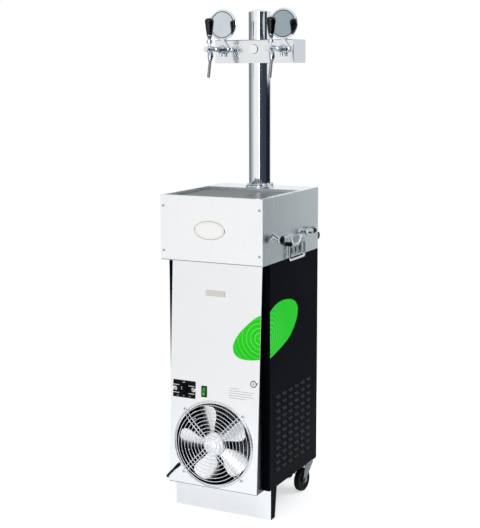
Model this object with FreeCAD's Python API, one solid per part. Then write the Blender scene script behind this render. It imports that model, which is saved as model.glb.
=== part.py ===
import FreeCAD, Part
import math
import os

V = FreeCAD.Vector

# Driving sizes in millimetres. X runs to the right, Y to the back, Z up.
# The origin is the middle of the foot's bottom face, and the floor is at Z = 0.
# Every depth is measured from the head box's front face.

# Cabinet
WIDTH = 360.0
SHEET = 1.5
GROUND_GAP = 106.0
CABINET_HEIGHT = 736.0
CABINET_SETBACK = 50.5
FLANGE_WIDTH = 20.0
FLANGE_LAP = 10.0
CORNER_RADIUS = 3.0
PAN_THICKNESS = 2.0
POST_SIZE = 20.0
POST_WALL = 2.0
SHELF_HEIGHT = 334.0

# Louvres of a side panel
LOUVRE_LENGTH = 38.0
LOUVRE_HEIGHT = 11.0
LOUVRE_RISE = 4.0
LOUVRE_END_TAPER = 5.0
LOUVRE_COLUMNS = 6
LOUVRE_ROWS = 11
LOUVRE_PITCH_Y = 48.3
LOUVRE_PITCH_Z = 24.3
LOUVRE_FIRST_DEPTH = 93.0
LOUVRE_FIRST_Z = 157.3

# Vent slots of the rear panel
SLOT_LENGTH = 50.0
SLOT_HEIGHT = 6.0
SLOT_COLUMNS = 4
SLOT_ROWS = 12
SLOT_PITCH_X = 70.0
SLOT_PITCH_Z = 16.0
SLOT_FIRST_Z = 150.0

# Front cover
COVER_LEAN_TOP = 40.5
COVER_LEAN_BOTTOM = -3.0

# Foot
FOOT_HALF = 174.3
FOOT_SETBACK = 71.0
FOOT_DEPTH = 32.0
FOOT_TOP_DEPTH = 47.0
FOOT_WALL = 2.0
FOOT_BOLT_INSET = 18.0
FOOT_BOLT_PLACES = (-130.0, -45.0, 45.0, 130.0)

# Head box
HEAD_HEIGHT = 207.0
HEAD_DEPTH = 431.0
HEAD_FLANGE = 22.0
HEAD_FLOOR_FRONT = 72.0
HEAD_FLOOR_REAR = 6.0
HEAD_SCREW_X = 169.0
HEAD_SCREW_HEIGHTS = (872.5, 1015.0)

# Drip tray and grid
TRAY_MARGIN_SIDE = 12.0
TRAY_MARGIN_FRONT = 4.5
TRAY_LENGTH = 292.5
TRAY_CLEARANCE = 1.0
TRAY_WALL = 1.0
TRAY_LIP = 4.2
TRAY_LIP_HEIGHT = 1.2
TRAY_LEDGE = 8.0
TRAY_LEDGE_DROP = 11.0
TRAY_FULL_DROP = 38.0
GRID_THICKNESS = 1.5
GRID_HOLE = 8.0
GRID_PITCH = 14.0
GRID_EDGE = 9.0
GRID_GAP = 0.3

# Column, flange and cross bar
COLUMN_DEPTH = 355.0
COLUMN_RADIUS = 37.0
COLUMN_WALL = 1.5
COLUMN_HEIGHT = 576.0
COLUMN_CAP_RISE = 8.0
FLANGE_RADIUS = 48.0
FLANGE_THICKNESS = 5.0
FLANGE_COLLAR = 2.0
FLANGE_COLLAR_HEIGHT = 12.0
FLANGE_NUT_CIRCLE = 84.0
BAR_HALF = 142.6
BAR_BOTTOM = 1459.5
BAR_HEIGHT = 75.0
BAR_FRONT = 306.0
BAR_DEPTH = 100.0
BAR_CAP = 2.0
BAR_CAP_PANEL = 0.8
BLANK_RADIUS = 14.5
BLANK_PROUD = 3.5
LINE_WINDOW = 14.0

# Taps
TAP_X = 110.0
TAP_Z = 1503.5
ROSETTE_RADIUS = 15.0
ROSETTE_THICKNESS = 10.0
SHANK_RADIUS = 7.5
SHANK_LENGTH = 34.0
SHANK_BORE = 3.5
TAP_NUT_RADIUS = 13.0
TAP_NUT_LENGTH = 12.0
TAP_RADIUS = 10.0
TAP_FRONT_RADIUS = 8.5
TAP_FRONT = 183.0
TAP_LUG_RADIUS = 4.5
LEVER_DEPTH = 209.0
LEVER_BALL = 6.0
LEVER_STEM = 4.0
LEVER_PIN_RADIUS = 2.0
LEVER_PIN_HALF = 9.2
LEVER_COLLAR_RADIUS = 10.0
LEVER_COLLAR_START = 18.5
LEVER_CONE_START = 31.0
LEVER_CONE_FOOT = 5.0
LEVER_FERRULE_TOP = 45.0
LEVER_STUB = 16.0
LEVER_FORWARD = 30.0
LEVER_BACK = 12.0
GRIP_LENGTH = 54.0
GRIP_FOOT_RADIUS = 9.2
GRIP_HEAD_RADIUS = 14.8
SPOUT_DEPTH = 220.5
SPOUT_BLOCK_RADIUS = 10.3
SPOUT_BLOCK_END_RADIUS = 6.7
SPOUT_BLOCK_LENGTH = 38.0
SPOUT_SEAT = 30.0
SPOUT_RADIUS = 4.75
SPOUT_BORE = 3.5
SPOUT_LENGTH = 62.0
SPOUT_LEAN = 13.0
MEDALLION_RADIUS = 49.5
MEDALLION_THICKNESS = 8.0
MEDALLION_CENTRE_Z = 1584.0
MEDALLION_NECK = 7.0
LENS_RADIUS = 41.5
LENS_RECESS = 2.5
LENS_THICKNESS = 2.0

# Fan, all heights above or below the cover's outer face
FAN_Z = 250.0
FAN_HOLE_RADIUS = 134.0
FAN_RADIUS = 127.0
FAN_HUB_RADIUS = 40.0
FAN_HUB_FRONT = -1.0
FAN_HUB_LENGTH = 32.0
FAN_BLADES = 5
FAN_BLADE_THICKNESS = 1.6
FAN_BLADE_PITCH = -27.0
FAN_BLADE_PLANE = -14.0
FAN_FIRST_BLADE = 110.0
FAN_CAMBER = 90.0
FAN_SHAFT = 4.0
SHROUD_WALL = 2.0
SHROUD_LENGTH = 58.5
SHROUD_FLANGE = 4.0
SHROUD_ARM = 12.0
FAN_MOTOR_RADIUS = 42.0
FAN_MOTOR_LENGTH = 52.0
GUARD_RADIUS = 140.0
GUARD_WIRE = 2.0
GUARD_RING_WIRE = 1.1
GUARD_SPOKE_WIRE = 1.4
GUARD_RINGS = 10
GUARD_FIRST_RING = 22.0
GUARD_RING_PITCH = 12.0
GUARD_DOME = 16.0
GUARD_SHOULDER = 100.0
GUARD_SPOKE_SPREAD = 6.0
LUG_CIRCLE = 147.5

# Controls on the cover
THERMOSTAT_X = -108.8
THERMOSTAT_Z = 419.0
THERMOSTAT_WIDTH = 80.0
THERMOSTAT_HEIGHT = 56.0
THERMOSTAT_THICKNESS = 3.0
THERMOSTAT_NOTCH = 7.5
THERMOSTAT_BODY = 42.0
THERMOSTAT_BODY_DEPTH = 30.0
KNOB_RADIUS = 16.0
KNOB_HEIGHT = 13.0
KNOB_SHAFT = 3.0
SWITCH_X = -36.0
SWITCH_Z = 419.0
SWITCH_WIDTH = 19.0
SWITCH_HEIGHT = 36.0
SWITCH_BEZEL = 2.5
SWITCH_RIM = 1.5
SWITCH_DEPTH = 24.0
ROCKER_WIDTH = 13.0
ROCKER_HEIGHT = 29.0
ROCKER_TRAVEL = 12.0
ROCKER_GAP = 0.4
ROCKER_CREST = 4.5
ROCKER_PIN_DROP = 2.0
ROCKER_PIN_RADIUS = 1.0
LOCK_X = 140.5
LOCK_Z = 464.0
LOCK_RADIUS = 8.0
LOCK_HEAD_RADIUS = 11.5
LOCK_HEAD_HEIGHT = 3.0
LOCK_CAM_LENGTH = 15.5
LOCK_CAM_WIDTH = 14.0
LOCK_CAM_THICKNESS = 3.0
LOCK_CAM_GAP = 2.2

# Bare plates
BADGE_WIDTH = 109.0
BADGE_HEIGHT = 60.0
BADGE_X = -4.0
BADGE_Z = 944.5
BADGE_THICKNESS = 1.2
LABEL_WIDTH = 69.0
LABEL_HEIGHT = 18.6
LABEL_X = -2.3
LABEL_Z = 739.0
LABEL_THICKNESS = 1.0

# Screws
SCREW_SHANK = 2.5
SCREW_HEAD_RADIUS = 4.6
SCREW_HEAD_HEIGHT = 2.6
SCREW_CLEARANCE = 0.1

# Ice bank
JACKET_HALF = 160.0
JACKET_FRONT = 75.0
JACKET_LENGTH = 330.0
JACKET_HEIGHT = 380.0
JACKET_WALL = 20.0
LID_THICKNESS = 14.0
BATH_CLEARANCE = 0.4
AGITATOR_RADIUS = 45.0
AGITATOR_HEIGHT = 80.0
AGITATOR_SHAFT = 4.0
AGITATOR_DROP = 280.0
PROPELLER_RADIUS = 30.0
PROPELLER_BLADES = 3
PIPE_CLEARANCE = 0.4

# Coils in the bath
LINE_RADIUS = 4.0
LINE_COIL_PITCH = 20.0
LINE_COIL_RADII = (100.0, 78.0)
LINE_COIL_TURNS = 12
LINE_INLET_X = 60.0
LINE_INLET_Z = 960.0
LINE_RISER_X = 12.0
LINE_RISER_DEPTH = 362.0
REFRIGERANT_RADIUS = 4.75
EVAPORATOR_RADIUS = 125.0
EVAPORATOR_PITCH = 22.0
EVAPORATOR_TURNS = 11
COIL_BOTTOM_Z = 500.0
INLET_STUB_RADIUS = 4.75
INLET_STUB_LENGTH = 25.0

# Refrigeration
COMPRESSOR_DEPTH = 300.0
COMPRESSOR_RADIUS = 75.0
COMPRESSOR_HEIGHT = 190.0
COMPRESSOR_FOOT = 10.0
CONDENSER_FRONT = 132.0
CONDENSER_DEPTH = 40.0
CONDENSER_HALF = 130.0
CONDENSER_BOTTOM = 130.0
CONDENSER_TOP = 400.0
CONDENSER_FIN_PITCH = 6.5
CONDENSER_FIN = 1.0
CONDENSER_CORE = 6.0

# Side fittings on the right of the head box
SIDE_PIPE_RADIUS = 5.5
SIDE_PIPE_ENTRY = (71.5, 939.0)
VALVE_DEPTH = 90.0
VALVE_Z = 915.0
VALVE_X = 194.0
VALVE_RADIUS = 8.5
HANDWHEEL_RADIUS = 14.0
HANDWHEEL_THICKNESS = 6.0
HANDWHEEL_X = 208.0
SPINDLE_RADIUS = 3.0
UNION_CAP_RADIUS = 13.0
UNION_X = 194.5
UNION_RING_RADIUS = 9.0
UNION_DEPTH = 314.0
UNION_Z = 912.0

# Carry handles
PLATE_DEPTH = 243.0
PLATE_HALF = 50.0
PLATE_BOTTOM = 848.0
PLATE_TOP = 892.0
PLATE_TAB_TOP = 907.0
PLATE_TAB_HALF = 35.0
PLATE_THICKNESS = 2.0
PLATE_RIB = 3.0
BAIL_PIVOT_Z = 888.0
BAIL_PIVOT_OUT = 7.0
BAIL_RADIUS = 4.0
BAIL_HALF = 58.0
BAIL_DROP = 52.0
BAIL_EAR = 6.0
BAIL_BEND = 10.0

# Push bar
PUSH_HALF = 161.0
PUSH_DEPTH = 472.0
PUSH_Z = 879.0
PUSH_RADIUS = 11.0
PUSH_WALL = 1.5
PUSH_STAND_X = 120.0
PUSH_STAND_RADIUS = 8.0
PUSH_PLUG_RADIUS = 12.0
PUSH_PLUG_LENGTH = 4.0

# Casters
CASTER_X = 155.0
CASTER_DEPTH = 388.0
CASTER_PLATE_X = 50.0
CASTER_PLATE_Y = 80.0
CASTER_PLATE_THICKNESS = 3.0
CASTER_RACE_RADIUS = 21.0
CASTER_RACE_HEIGHT = 6.0
CASTER_HEAD_HEIGHT = 8.0
CASTER_GAP = 0.3
CASTER_TRAIL = 20.0
CASTER_TURN = -6.0
FORK_CHEEK = 34.0
FORK_CHEEK_EDGE = 7.0
CASTER_BOLT_X = 18.0
CASTER_BOLT_Y = 31.0
WHEEL_RADIUS = 40.0
WHEEL_WIDTH = 20.0
WHEEL_HUB_GAP = 0.5
AXLE_RADIUS = 4.0
FORK_WALL = 2.5
KINGPIN_RADIUS = 5.0
TURN_CLEARANCE = 0.05

# Mains lead
CORD_RADIUS = 3.5
GLAND_X = -123.0
GLAND_Z = 166.5
GLAND_HEIGHT = 4.8
GLAND_RADIUS = 5.5
GLAND_MOUTH_RADIUS = 4.3
GLAND_LENGTH = 22.0
COIL_X = -60.0
COIL_DEPTH = 545.0
COIL_PITCH = 9.0
COIL_LAYER_RISE = 7.8
COIL_TURNS_IN = 2.75
COIL_START_ANGLE = 270.0
COIL_APPROACH = 48.0
COIL_MIDDLE_RADIUS = 42.0
PLUG_RADIUS = 18.5
PLUG_LENGTH = 34.0
PLUG_PIN_RADIUS = 2.4
PLUG_PIN_LENGTH = 19.0
PLUG_PIN_SPACING = 19.0
PLUG_COLLAR = 8.0
GLAND_APPROACH = 15.0
TAIL_APPROACH = 26.0
FLOOR_GAP = 0.5

# Worked out from the sizes above
HALF = WIDTH / 2
INNER_HALF = HALF - SHEET
SEAM_Z = GROUND_GAP + CABINET_HEIGHT
TOP_Z = SEAM_Z + HEAD_HEIGHT
COVER_HALF = HALF - FLANGE_WIDTH
HEAD_FRONT = -(FOOT_SETBACK + FOOT_DEPTH / 2)
COVER_SLOPE = math.degrees(math.atan2(COVER_LEAN_TOP - COVER_LEAN_BOTTOM, CABINET_HEIGHT))
FLOOR_TOP = GROUND_GAP + PAN_THICKNESS
SHELF_TOP = GROUND_GAP + SHELF_HEIGHT + PAN_THICKNESS
JACKET_TOP = SHELF_TOP + JACKET_HEIGHT
LID_TOP = JACKET_TOP + LID_THICKNESS
BATH_DEPTH = JACKET_FRONT + JACKET_LENGTH / 2
CABINET_REAR = HEAD_DEPTH - SHEET
COLUMN_TOP = TOP_Z + COLUMN_HEIGHT
BAR_TOP = BAR_BOTTOM + BAR_HEIGHT


# General helpers

def deep(depth):
    """Y of a depth measured from the head box's front face."""
    return HEAD_FRONT + depth


def point(x, depth, z):
    return V(x, deep(depth), z)


def box(x0, x1, depth0, depth1, z0, z1):
    return Part.makeBox(x1 - x0, depth1 - depth0, z1 - z0, point(x0, depth0, z0))


def slab(x0, x1, y0, y1, z0, z1):
    """A box in a local frame, with no depth shift."""
    return Part.makeBox(x1 - x0, y1 - y0, z1 - z0, V(x0, y0, z0))


def rod(start, end, radius):
    axis = end.sub(start)
    return Part.makeCylinder(radius, axis.Length, start, axis)


def prism(corners, sweep):
    return Part.Face(Part.makePolygon(corners + [corners[0]])).extrude(sweep)


def turned(profile, origin, axis):
    """A solid of revolution from (radius, height) corners along an axis."""
    corners = [V(radius, 0, height) for radius, height in profile]
    face = Part.Face(Part.makePolygon(corners + [corners[0]]))
    solid = face.revolve(V(0, 0, 0), V(0, 0, 1), 360)
    solid.Placement = FreeCAD.Placement(origin, FreeCAD.Rotation(V(0, 0, 1), axis))
    return solid


def joined(shapes):
    return shapes[0].multiFuse(shapes[1:]).removeSplitter()


def mirrored(shape):
    return shape.mirror(V(0, 0, 0), V(1, 0, 0))


def on_both_sides(shape):
    return Part.makeCompound([shape, mirrored(shape)])


def moved(shape, offset):
    copy = shape.copy()
    copy.translate(offset)
    return copy


def spun(shape, centre, axis, angle):
    copy = shape.copy()
    copy.rotate(centre, axis, angle)
    return copy


def save(node, shape):
    shape.exportStep("parts/" + node + ".step")


def cover_lean(z):
    """Depth of the cover's outer face at a height."""
    share = (z - GROUND_GAP) / CABINET_HEIGHT
    return COVER_LEAN_BOTTOM + (COVER_LEAN_TOP - COVER_LEAN_BOTTOM) * share


def on_cover(shape, x, z):
    """Moves a shape drawn about the origin, with Z pointing out, onto the cover."""
    turn = FreeCAD.Rotation(V(1, 0, 0), 90 - COVER_SLOPE)
    place = FreeCAD.Placement(point(x, cover_lean(z), z), turn)
    copy = shape.copy()
    copy.Placement = place.multiply(shape.Placement)
    return copy


def cover_point(x, z, height):
    turn = FreeCAD.Rotation(V(1, 0, 0), 90 - COVER_SLOPE)
    return point(x, cover_lean(z), z).add(turn.multVec(V(0, 0, height)))


# Bent tubes

def rounded_edges(points, bend=None):
    """Straight runs joined by tangent arcs, and the radius of each arc."""
    edges = []
    radii = []
    start = points[0]
    for i in range(1, len(points) - 1):
        back = points[i - 1].sub(points[i])
        ahead = points[i + 1].sub(points[i])
        shorter = min(back.Length, ahead.Length)
        half_turn = (math.pi - back.getAngle(ahead)) / 2
        radius = 0.45 * shorter / math.tan(half_turn)
        if bend:
            radius = min(radius, bend)
        radii.append(radius)
        reach = radius * math.tan(half_turn)
        back.normalize()
        ahead.normalize()
        first = points[i].add(V(back).multiply(reach))
        last = points[i].add(V(ahead).multiply(reach))
        inward = back.add(ahead)
        inward.normalize()
        to_arc = radius / math.cos(half_turn) - radius
        middle = points[i].add(inward.multiply(to_arc))
        edges.append(Part.LineSegment(start, first).toShape())
        edges.append(Part.Arc(first, middle, last).toShape())
        start = last
    edges.append(Part.LineSegment(start, points[-1]).toShape())
    return edges, radii


def swept(edges, radius):
    """A round tube along a chain of edges."""
    path = Part.Wire(edges)
    start = edges[0].valueAt(edges[0].FirstParameter)
    heading = edges[0].tangentAt(edges[0].FirstParameter)
    ring = Part.Wire(Part.Circle(start, heading, radius).toShape())
    return path.makePipeShell([ring], True, False)


def bent_tube(points, radius, bend=None):
    edges, radii = rounded_edges(points, bend)
    return swept(edges, radius)


def arc_from(start, heading, end):
    """The arc that leaves start along heading and reaches end."""
    chord = end.sub(start)
    half = chord.getAngle(heading)
    if half < 1e-6:
        return Part.LineSegment(start, end).toShape()
    middle = start.add(V(chord).multiply(0.5))
    along = V(chord)
    along.normalize()
    side = heading.sub(V(along).multiply(heading.dot(along)))
    side.normalize()
    bulge = chord.Length / 2 * math.tan(half / 2)
    return Part.Arc(start, middle.add(side.multiply(bulge)), end).toShape()


def biarc(start, heading, end, leaving):
    """Two tangent arcs from start along heading to end along leaving."""
    chord = end.sub(start)
    both = heading.add(leaving)
    square = 2 * (1 - heading.dot(leaving))
    along = chord.dot(both)
    length = chord.dot(chord)
    if square < 1e-9:
        reach = length / (2 * along)
    else:
        reach = (math.sqrt(along * along + square * length) - along) / square
    meet = start.add(end).add(heading.sub(leaving).multiply(reach)).multiply(0.5)
    first = arc_from(start, heading, meet)
    second = arc_from(end, V(leaving).negative(), meet)
    second.reverse()
    return [first, second]


def winding(place, heading, turns):
    """Biarcs of a quarter turn each through a winding given by two formulas."""
    steps = max(1, round(4 * turns))
    edges = []
    for i in range(steps):
        a = turns * i / steps
        b = turns * (i + 1) / steps
        edges += biarc(place(a), heading(a), place(b), heading(b))
    return edges


def helix(centre_x, centre_depth, bottom_z, radius, pitch, start_angle):
    """Place and heading of an upright helix after a number of turns."""
    def place(turns):
        angle = start_angle + 2 * math.pi * turns
        x = centre_x + radius * math.cos(angle)
        return point(x, centre_depth + radius * math.sin(angle), bottom_z + pitch * turns)

    def heading(turns):
        angle = start_angle + 2 * math.pi * turns
        flat = 2 * math.pi * radius
        way = V(-flat * math.sin(angle), flat * math.cos(angle), pitch)
        way.normalize()
        return way

    return place, heading


# Screws

def screw(length):
    """A dome-head screw whose head stands on Z = 0 and whose shank runs down."""
    head = turned(
        [(0, 0), (SCREW_HEAD_RADIUS, 0), (SCREW_HEAD_RADIUS * 0.9, SCREW_HEAD_HEIGHT * 0.5),
         (SCREW_HEAD_RADIUS * 0.55, SCREW_HEAD_HEIGHT * 0.92), (0, SCREW_HEAD_HEIGHT)],
        V(0, 0, 0), V(0, 0, 1))
    slot = slab(-0.5, 0.5, -SCREW_HEAD_RADIUS * 0.7, SCREW_HEAD_RADIUS * 0.7,
                SCREW_HEAD_HEIGHT - 0.8, SCREW_HEAD_HEIGHT)
    shank = rod(V(0, 0, 0), V(0, 0, -length), SCREW_SHANK)
    return joined([head.cut(slot), shank])


def screw_hole(length):
    return rod(V(0, 0, length), V(0, 0, -length), SCREW_SHANK + SCREW_CLEARANCE)


def facing(shape, place, axis):
    copy = shape.copy()
    copy.Placement = FreeCAD.Placement(place, FreeCAD.Rotation(V(0, 0, 1), axis))
    return copy


# Places that two or more pieces share

HEAD_SCREW_PLACES = [(x, z) for x in (-HEAD_SCREW_X, HEAD_SCREW_X) for z in HEAD_SCREW_HEIGHTS]
LUG_PLACES = [(LUG_CIRCLE * math.cos(math.radians(a)), LUG_CIRCLE * math.sin(math.radians(a)))
              for a in (45, 135, 225, 315)]
NOTCH_X = THERMOSTAT_WIDTH / 2 - THERMOSTAT_NOTCH
THERMOSTAT_SCREWS = [(-NOTCH_X, 0), (NOTCH_X, 0)]
CASTER_BOLTS = [(side * CASTER_X + dx, CASTER_DEPTH + dy)
                for side in (-1, 1) for dx in (-CASTER_BOLT_X, CASTER_BOLT_X)
                for dy in (-CASTER_BOLT_Y, CASTER_BOLT_Y)]
FOOT_BOLT_DEPTH = FOOT_SETBACK + SHEET + FOOT_WALL + FOOT_BOLT_INSET
FOOT_BOLTS = [(x, FOOT_BOLT_DEPTH) for x in FOOT_BOLT_PLACES]
FLANGE_NUTS = [(FLANGE_NUT_CIRCLE / 2 * math.cos(math.radians(a)),
                COLUMN_DEPTH + FLANGE_NUT_CIRCLE / 2 * math.sin(math.radians(a)))
               for a in (45, 135, 225, 315)]
LIQUID_X = 118.0
DUCT_DEPTH = (JACKET_FRONT + JACKET_LENGTH + CABINET_REAR) / 2


# Cabinet

def chassis_frame():
    front = CABINET_SETBACK + SHEET
    pan = box(-INNER_HALF, INNER_HALF, front, CABINET_REAR, GROUND_GAP, FLOOR_TOP)
    shelf = box(-INNER_HALF, INNER_HALF, front, CABINET_REAR, SHELF_TOP - PAN_THICKNESS, SHELF_TOP)
    pieces = [pan, shelf]
    for side in (-1, 1):
        for corner, inward in ((front, 1), (CABINET_REAR, -1)):
            outer = side * INNER_HALF
            legs = [(outer, outer - side * POST_SIZE, corner, corner + inward * POST_WALL),
                    (outer, outer - side * POST_WALL, corner, corner + inward * POST_SIZE)]
            for x0, x1, d0, d1 in legs:
                pieces.append(box(min(x0, x1), max(x0, x1), min(d0, d1), max(d0, d1),
                                  FLOOR_TOP, SEAM_Z))
    frame = joined(pieces)
    for x, depth in CASTER_BOLTS + FOOT_BOLTS:
        frame = frame.cut(rod(point(x, depth, GROUND_GAP), point(x, depth, FLOOR_TOP),
                              SCREW_SHANK + SCREW_CLEARANCE))
    for x in (suction_x(), LIQUID_X):
        frame = frame.cut(rod(point(x, DUCT_DEPTH, SHELF_TOP - 2 * PAN_THICKNESS),
                              point(x, DUCT_DEPTH, SHELF_TOP),
                              REFRIGERANT_RADIUS + PIPE_CLEARANCE))
    return frame


def louvre_wedge(depth, z, foot_x, lip_x):
    """A wedge that rises from the panel to a lip along its lower edge."""
    y0 = deep(depth)
    y1 = deep(depth + LOUVRE_LENGTH)
    top = z + LOUVRE_HEIGHT
    lip0 = V(lip_x, y0 + LOUVRE_END_TAPER, z)
    lip1 = V(lip_x, y1 - LOUVRE_END_TAPER, z)
    low0, low1 = V(foot_x, y0, z), V(foot_x, y1, z)
    top0, top1 = V(foot_x, y0, top), V(foot_x, y1, top)
    loops = [[top0, top1, low1, low0], [low0, low1, lip1, lip0], [top0, lip0, lip1, top1],
             [top0, low0, lip0], [top1, lip1, low1]]
    faces = [Part.Face(Part.makePolygon(loop + [loop[0]])) for loop in loops]
    return Part.makeSolid(Part.makeShell(faces))


def right_side_panel():
    front = deep(CABINET_SETBACK)
    rear = deep(HEAD_DEPTH)
    flange_edge = COVER_HALF - FLANGE_LAP
    r = CORNER_RADIUS
    k = r * (1 - math.sqrt(0.5))
    corner = Part.Arc(V(HALF - r, front, GROUND_GAP), V(HALF - k, front + k, GROUND_GAP),
                      V(HALF, front + r, GROUND_GAP)).toShape()
    rest = Part.makePolygon([
        V(HALF, front + r, GROUND_GAP), V(HALF, rear, GROUND_GAP), V(INNER_HALF, rear, GROUND_GAP),
        V(INNER_HALF, front + SHEET, GROUND_GAP), V(flange_edge, front + SHEET, GROUND_GAP),
        V(flange_edge, front, GROUND_GAP), V(HALF - r, front, GROUND_GAP)])
    panel = Part.Face(Part.Wire([corner] + rest.Edges)).extrude(V(0, 0, CABINET_HEIGHT))
    hoods = []
    hollows = []
    for column in range(LOUVRE_COLUMNS):
        for row in range(LOUVRE_ROWS):
            depth = LOUVRE_FIRST_DEPTH + column * LOUVRE_PITCH_Y
            z = LOUVRE_FIRST_Z + row * LOUVRE_PITCH_Z
            hoods.append(louvre_wedge(depth, z, INNER_HALF, HALF + LOUVRE_RISE))
            hollows.append(louvre_wedge(depth, z, INNER_HALF - SHEET, HALF + LOUVRE_RISE - SHEET))
    panel = panel.multiFuse(hoods)
    return panel.cut(Part.makeCompound(hollows))


def rear_panel():
    panel = box(-INNER_HALF, INNER_HALF, CABINET_REAR, HEAD_DEPTH, GROUND_GAP, SEAM_Z)
    slots = []
    for column in range(SLOT_COLUMNS):
        for row in range(SLOT_ROWS):
            x = (column - (SLOT_COLUMNS - 1) / 2) * SLOT_PITCH_X
            z = SLOT_FIRST_Z + row * SLOT_PITCH_Z
            slots.append(box(x - SLOT_LENGTH / 2, x + SLOT_LENGTH / 2,
                             CABINET_REAR - SHEET, HEAD_DEPTH + SHEET, z, z + SLOT_HEIGHT))
    return panel.cut(Part.makeCompound(slots))


def cover_prism(half, inset, z0, z1, back):
    """The sloping block of the front cover, drawn in from its front by an inset."""
    corners = [V(-half, deep(cover_lean(z0) + inset), z0), V(-half, deep(back), z0),
               V(-half, deep(back), z1), V(-half, deep(cover_lean(z1) + inset), z1)]
    return prism(corners, V(2 * half, 0, 0))


def front_cover():
    outer = cover_prism(COVER_HALF, 0, GROUND_GAP, SEAM_Z, CABINET_SETBACK)
    inset = SHEET / math.cos(math.radians(COVER_SLOPE))
    inner = cover_prism(COVER_HALF - SHEET, inset, GROUND_GAP + SHEET, SEAM_Z - SHEET,
                        CABINET_SETBACK + SHEET)
    cover = outer.cut(inner)
    reach = 3 * SHEET
    cuts = [on_cover(rod(V(0, 0, -reach), V(0, 0, reach), FAN_HOLE_RADIUS), 0, FAN_Z)]
    for u, v in LUG_PLACES:
        cuts.append(on_cover(moved(screw_hole(reach), V(u, v, 0)), 0, FAN_Z))
    half = THERMOSTAT_BODY / 2 + PIPE_CLEARANCE
    cuts.append(on_cover(slab(-half, half, -half, half, -reach, reach),
                         THERMOSTAT_X, THERMOSTAT_Z))
    for u, v in THERMOSTAT_SCREWS:
        cuts.append(on_cover(moved(screw_hole(reach), V(u, v, 0)), THERMOSTAT_X, THERMOSTAT_Z))
    wide = SWITCH_WIDTH / 2 - SWITCH_RIM + SCREW_CLEARANCE
    tall = SWITCH_HEIGHT / 2 - SWITCH_RIM + SCREW_CLEARANCE
    cuts.append(on_cover(slab(-wide, wide, -tall, tall, -reach, reach), SWITCH_X, SWITCH_Z))
    cuts.append(on_cover(rod(V(0, 0, -reach), V(0, 0, reach), LOCK_RADIUS + TURN_CLEARANCE),
                         LOCK_X, LOCK_Z))
    return cover.cut(Part.makeCompound(cuts))


# Foot

def foot_plate():
    return box(-FOOT_HALF, FOOT_HALF, FOOT_SETBACK, FOOT_SETBACK + SHEET, 0, GROUND_GAP)


def foot_bracket():
    front = FOOT_SETBACK + SHEET
    bottom_rear = FOOT_SETBACK + FOOT_DEPTH
    top_rear = FOOT_SETBACK + FOOT_TOP_DEPTH
    side = [V(-FOOT_HALF, deep(front), 0), V(-FOOT_HALF, deep(bottom_rear), 0),
            V(-FOOT_HALF, deep(top_rear), GROUND_GAP), V(-FOOT_HALF, deep(front), GROUND_GAP)]
    block = prism(side, V(2 * FOOT_HALF, 0, 0))
    w = FOOT_WALL
    hollow_half = FOOT_HALF - w
    far = top_rear + w
    hollow = [V(-hollow_half, deep(front + w), w), V(-hollow_half, deep(far), w),
              V(-hollow_half, deep(far), GROUND_GAP - w),
              V(-hollow_half, deep(front + w), GROUND_GAP - w)]
    bracket = block.cut(prism(hollow, V(2 * hollow_half, 0, 0)))
    for x, depth in FOOT_BOLTS:
        bracket = bracket.cut(rod(point(x, depth, GROUND_GAP - 2 * w),
                                  point(x, depth, GROUND_GAP), SCREW_SHANK + SCREW_CLEARANCE))
    return bracket


# Head box

def tray_opening():
    half = HALF - TRAY_MARGIN_SIDE
    return half, TRAY_MARGIN_FRONT, TRAY_MARGIN_FRONT + TRAY_LENGTH


def head_box():
    outer = box(-HALF, HALF, 0, HEAD_DEPTH, SEAM_Z, TOP_Z)
    inner = box(-INNER_HALF, INNER_HALF, SHEET, HEAD_DEPTH - SHEET, SEAM_Z + SHEET, TOP_Z - SHEET)
    floor_half = HALF - HEAD_FLANGE
    cuts = [inner,
            box(-floor_half, floor_half, HEAD_FLOOR_FRONT, HEAD_DEPTH - HEAD_FLOOR_REAR,
                SEAM_Z - SHEET, SEAM_Z + 2 * SHEET)]
    half, front, rear = tray_opening()
    cuts.append(box(-half, half, front, rear, TOP_Z - 2 * SHEET, TOP_Z + SHEET))
    cuts.append(rod(point(0, COLUMN_DEPTH, TOP_Z - 2 * SHEET), point(0, COLUMN_DEPTH, TOP_Z + SHEET),
                    COLUMN_RADIUS - 2 * COLUMN_WALL))
    for x, depth in FLANGE_NUTS:
        cuts.append(rod(point(x, depth, TOP_Z - 2 * SHEET), point(x, depth, TOP_Z + SHEET),
                        SCREW_SHANK + SCREW_CLEARANCE))
    for x, z in HEAD_SCREW_PLACES:
        cuts.append(rod(point(x, -SHEET, z), point(x, 2 * SHEET, z), SCREW_SHANK + SCREW_CLEARANCE))
    for side in (-1, 1):
        x = side * LINE_INLET_X
        cuts.append(rod(point(x, HEAD_DEPTH - 2 * SHEET, LINE_INLET_Z),
                        point(x, HEAD_DEPTH + SHEET, LINE_INLET_Z),
                        INLET_STUB_RADIUS + SCREW_CLEARANCE))
    for hole in side_pipe_runs(SIDE_PIPE_RADIUS + SCREW_CLEARANCE):
        cuts.append(hole)
    return outer.cut(Part.makeCompound(cuts[:1])).cut(joined(cuts[1:]))


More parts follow.
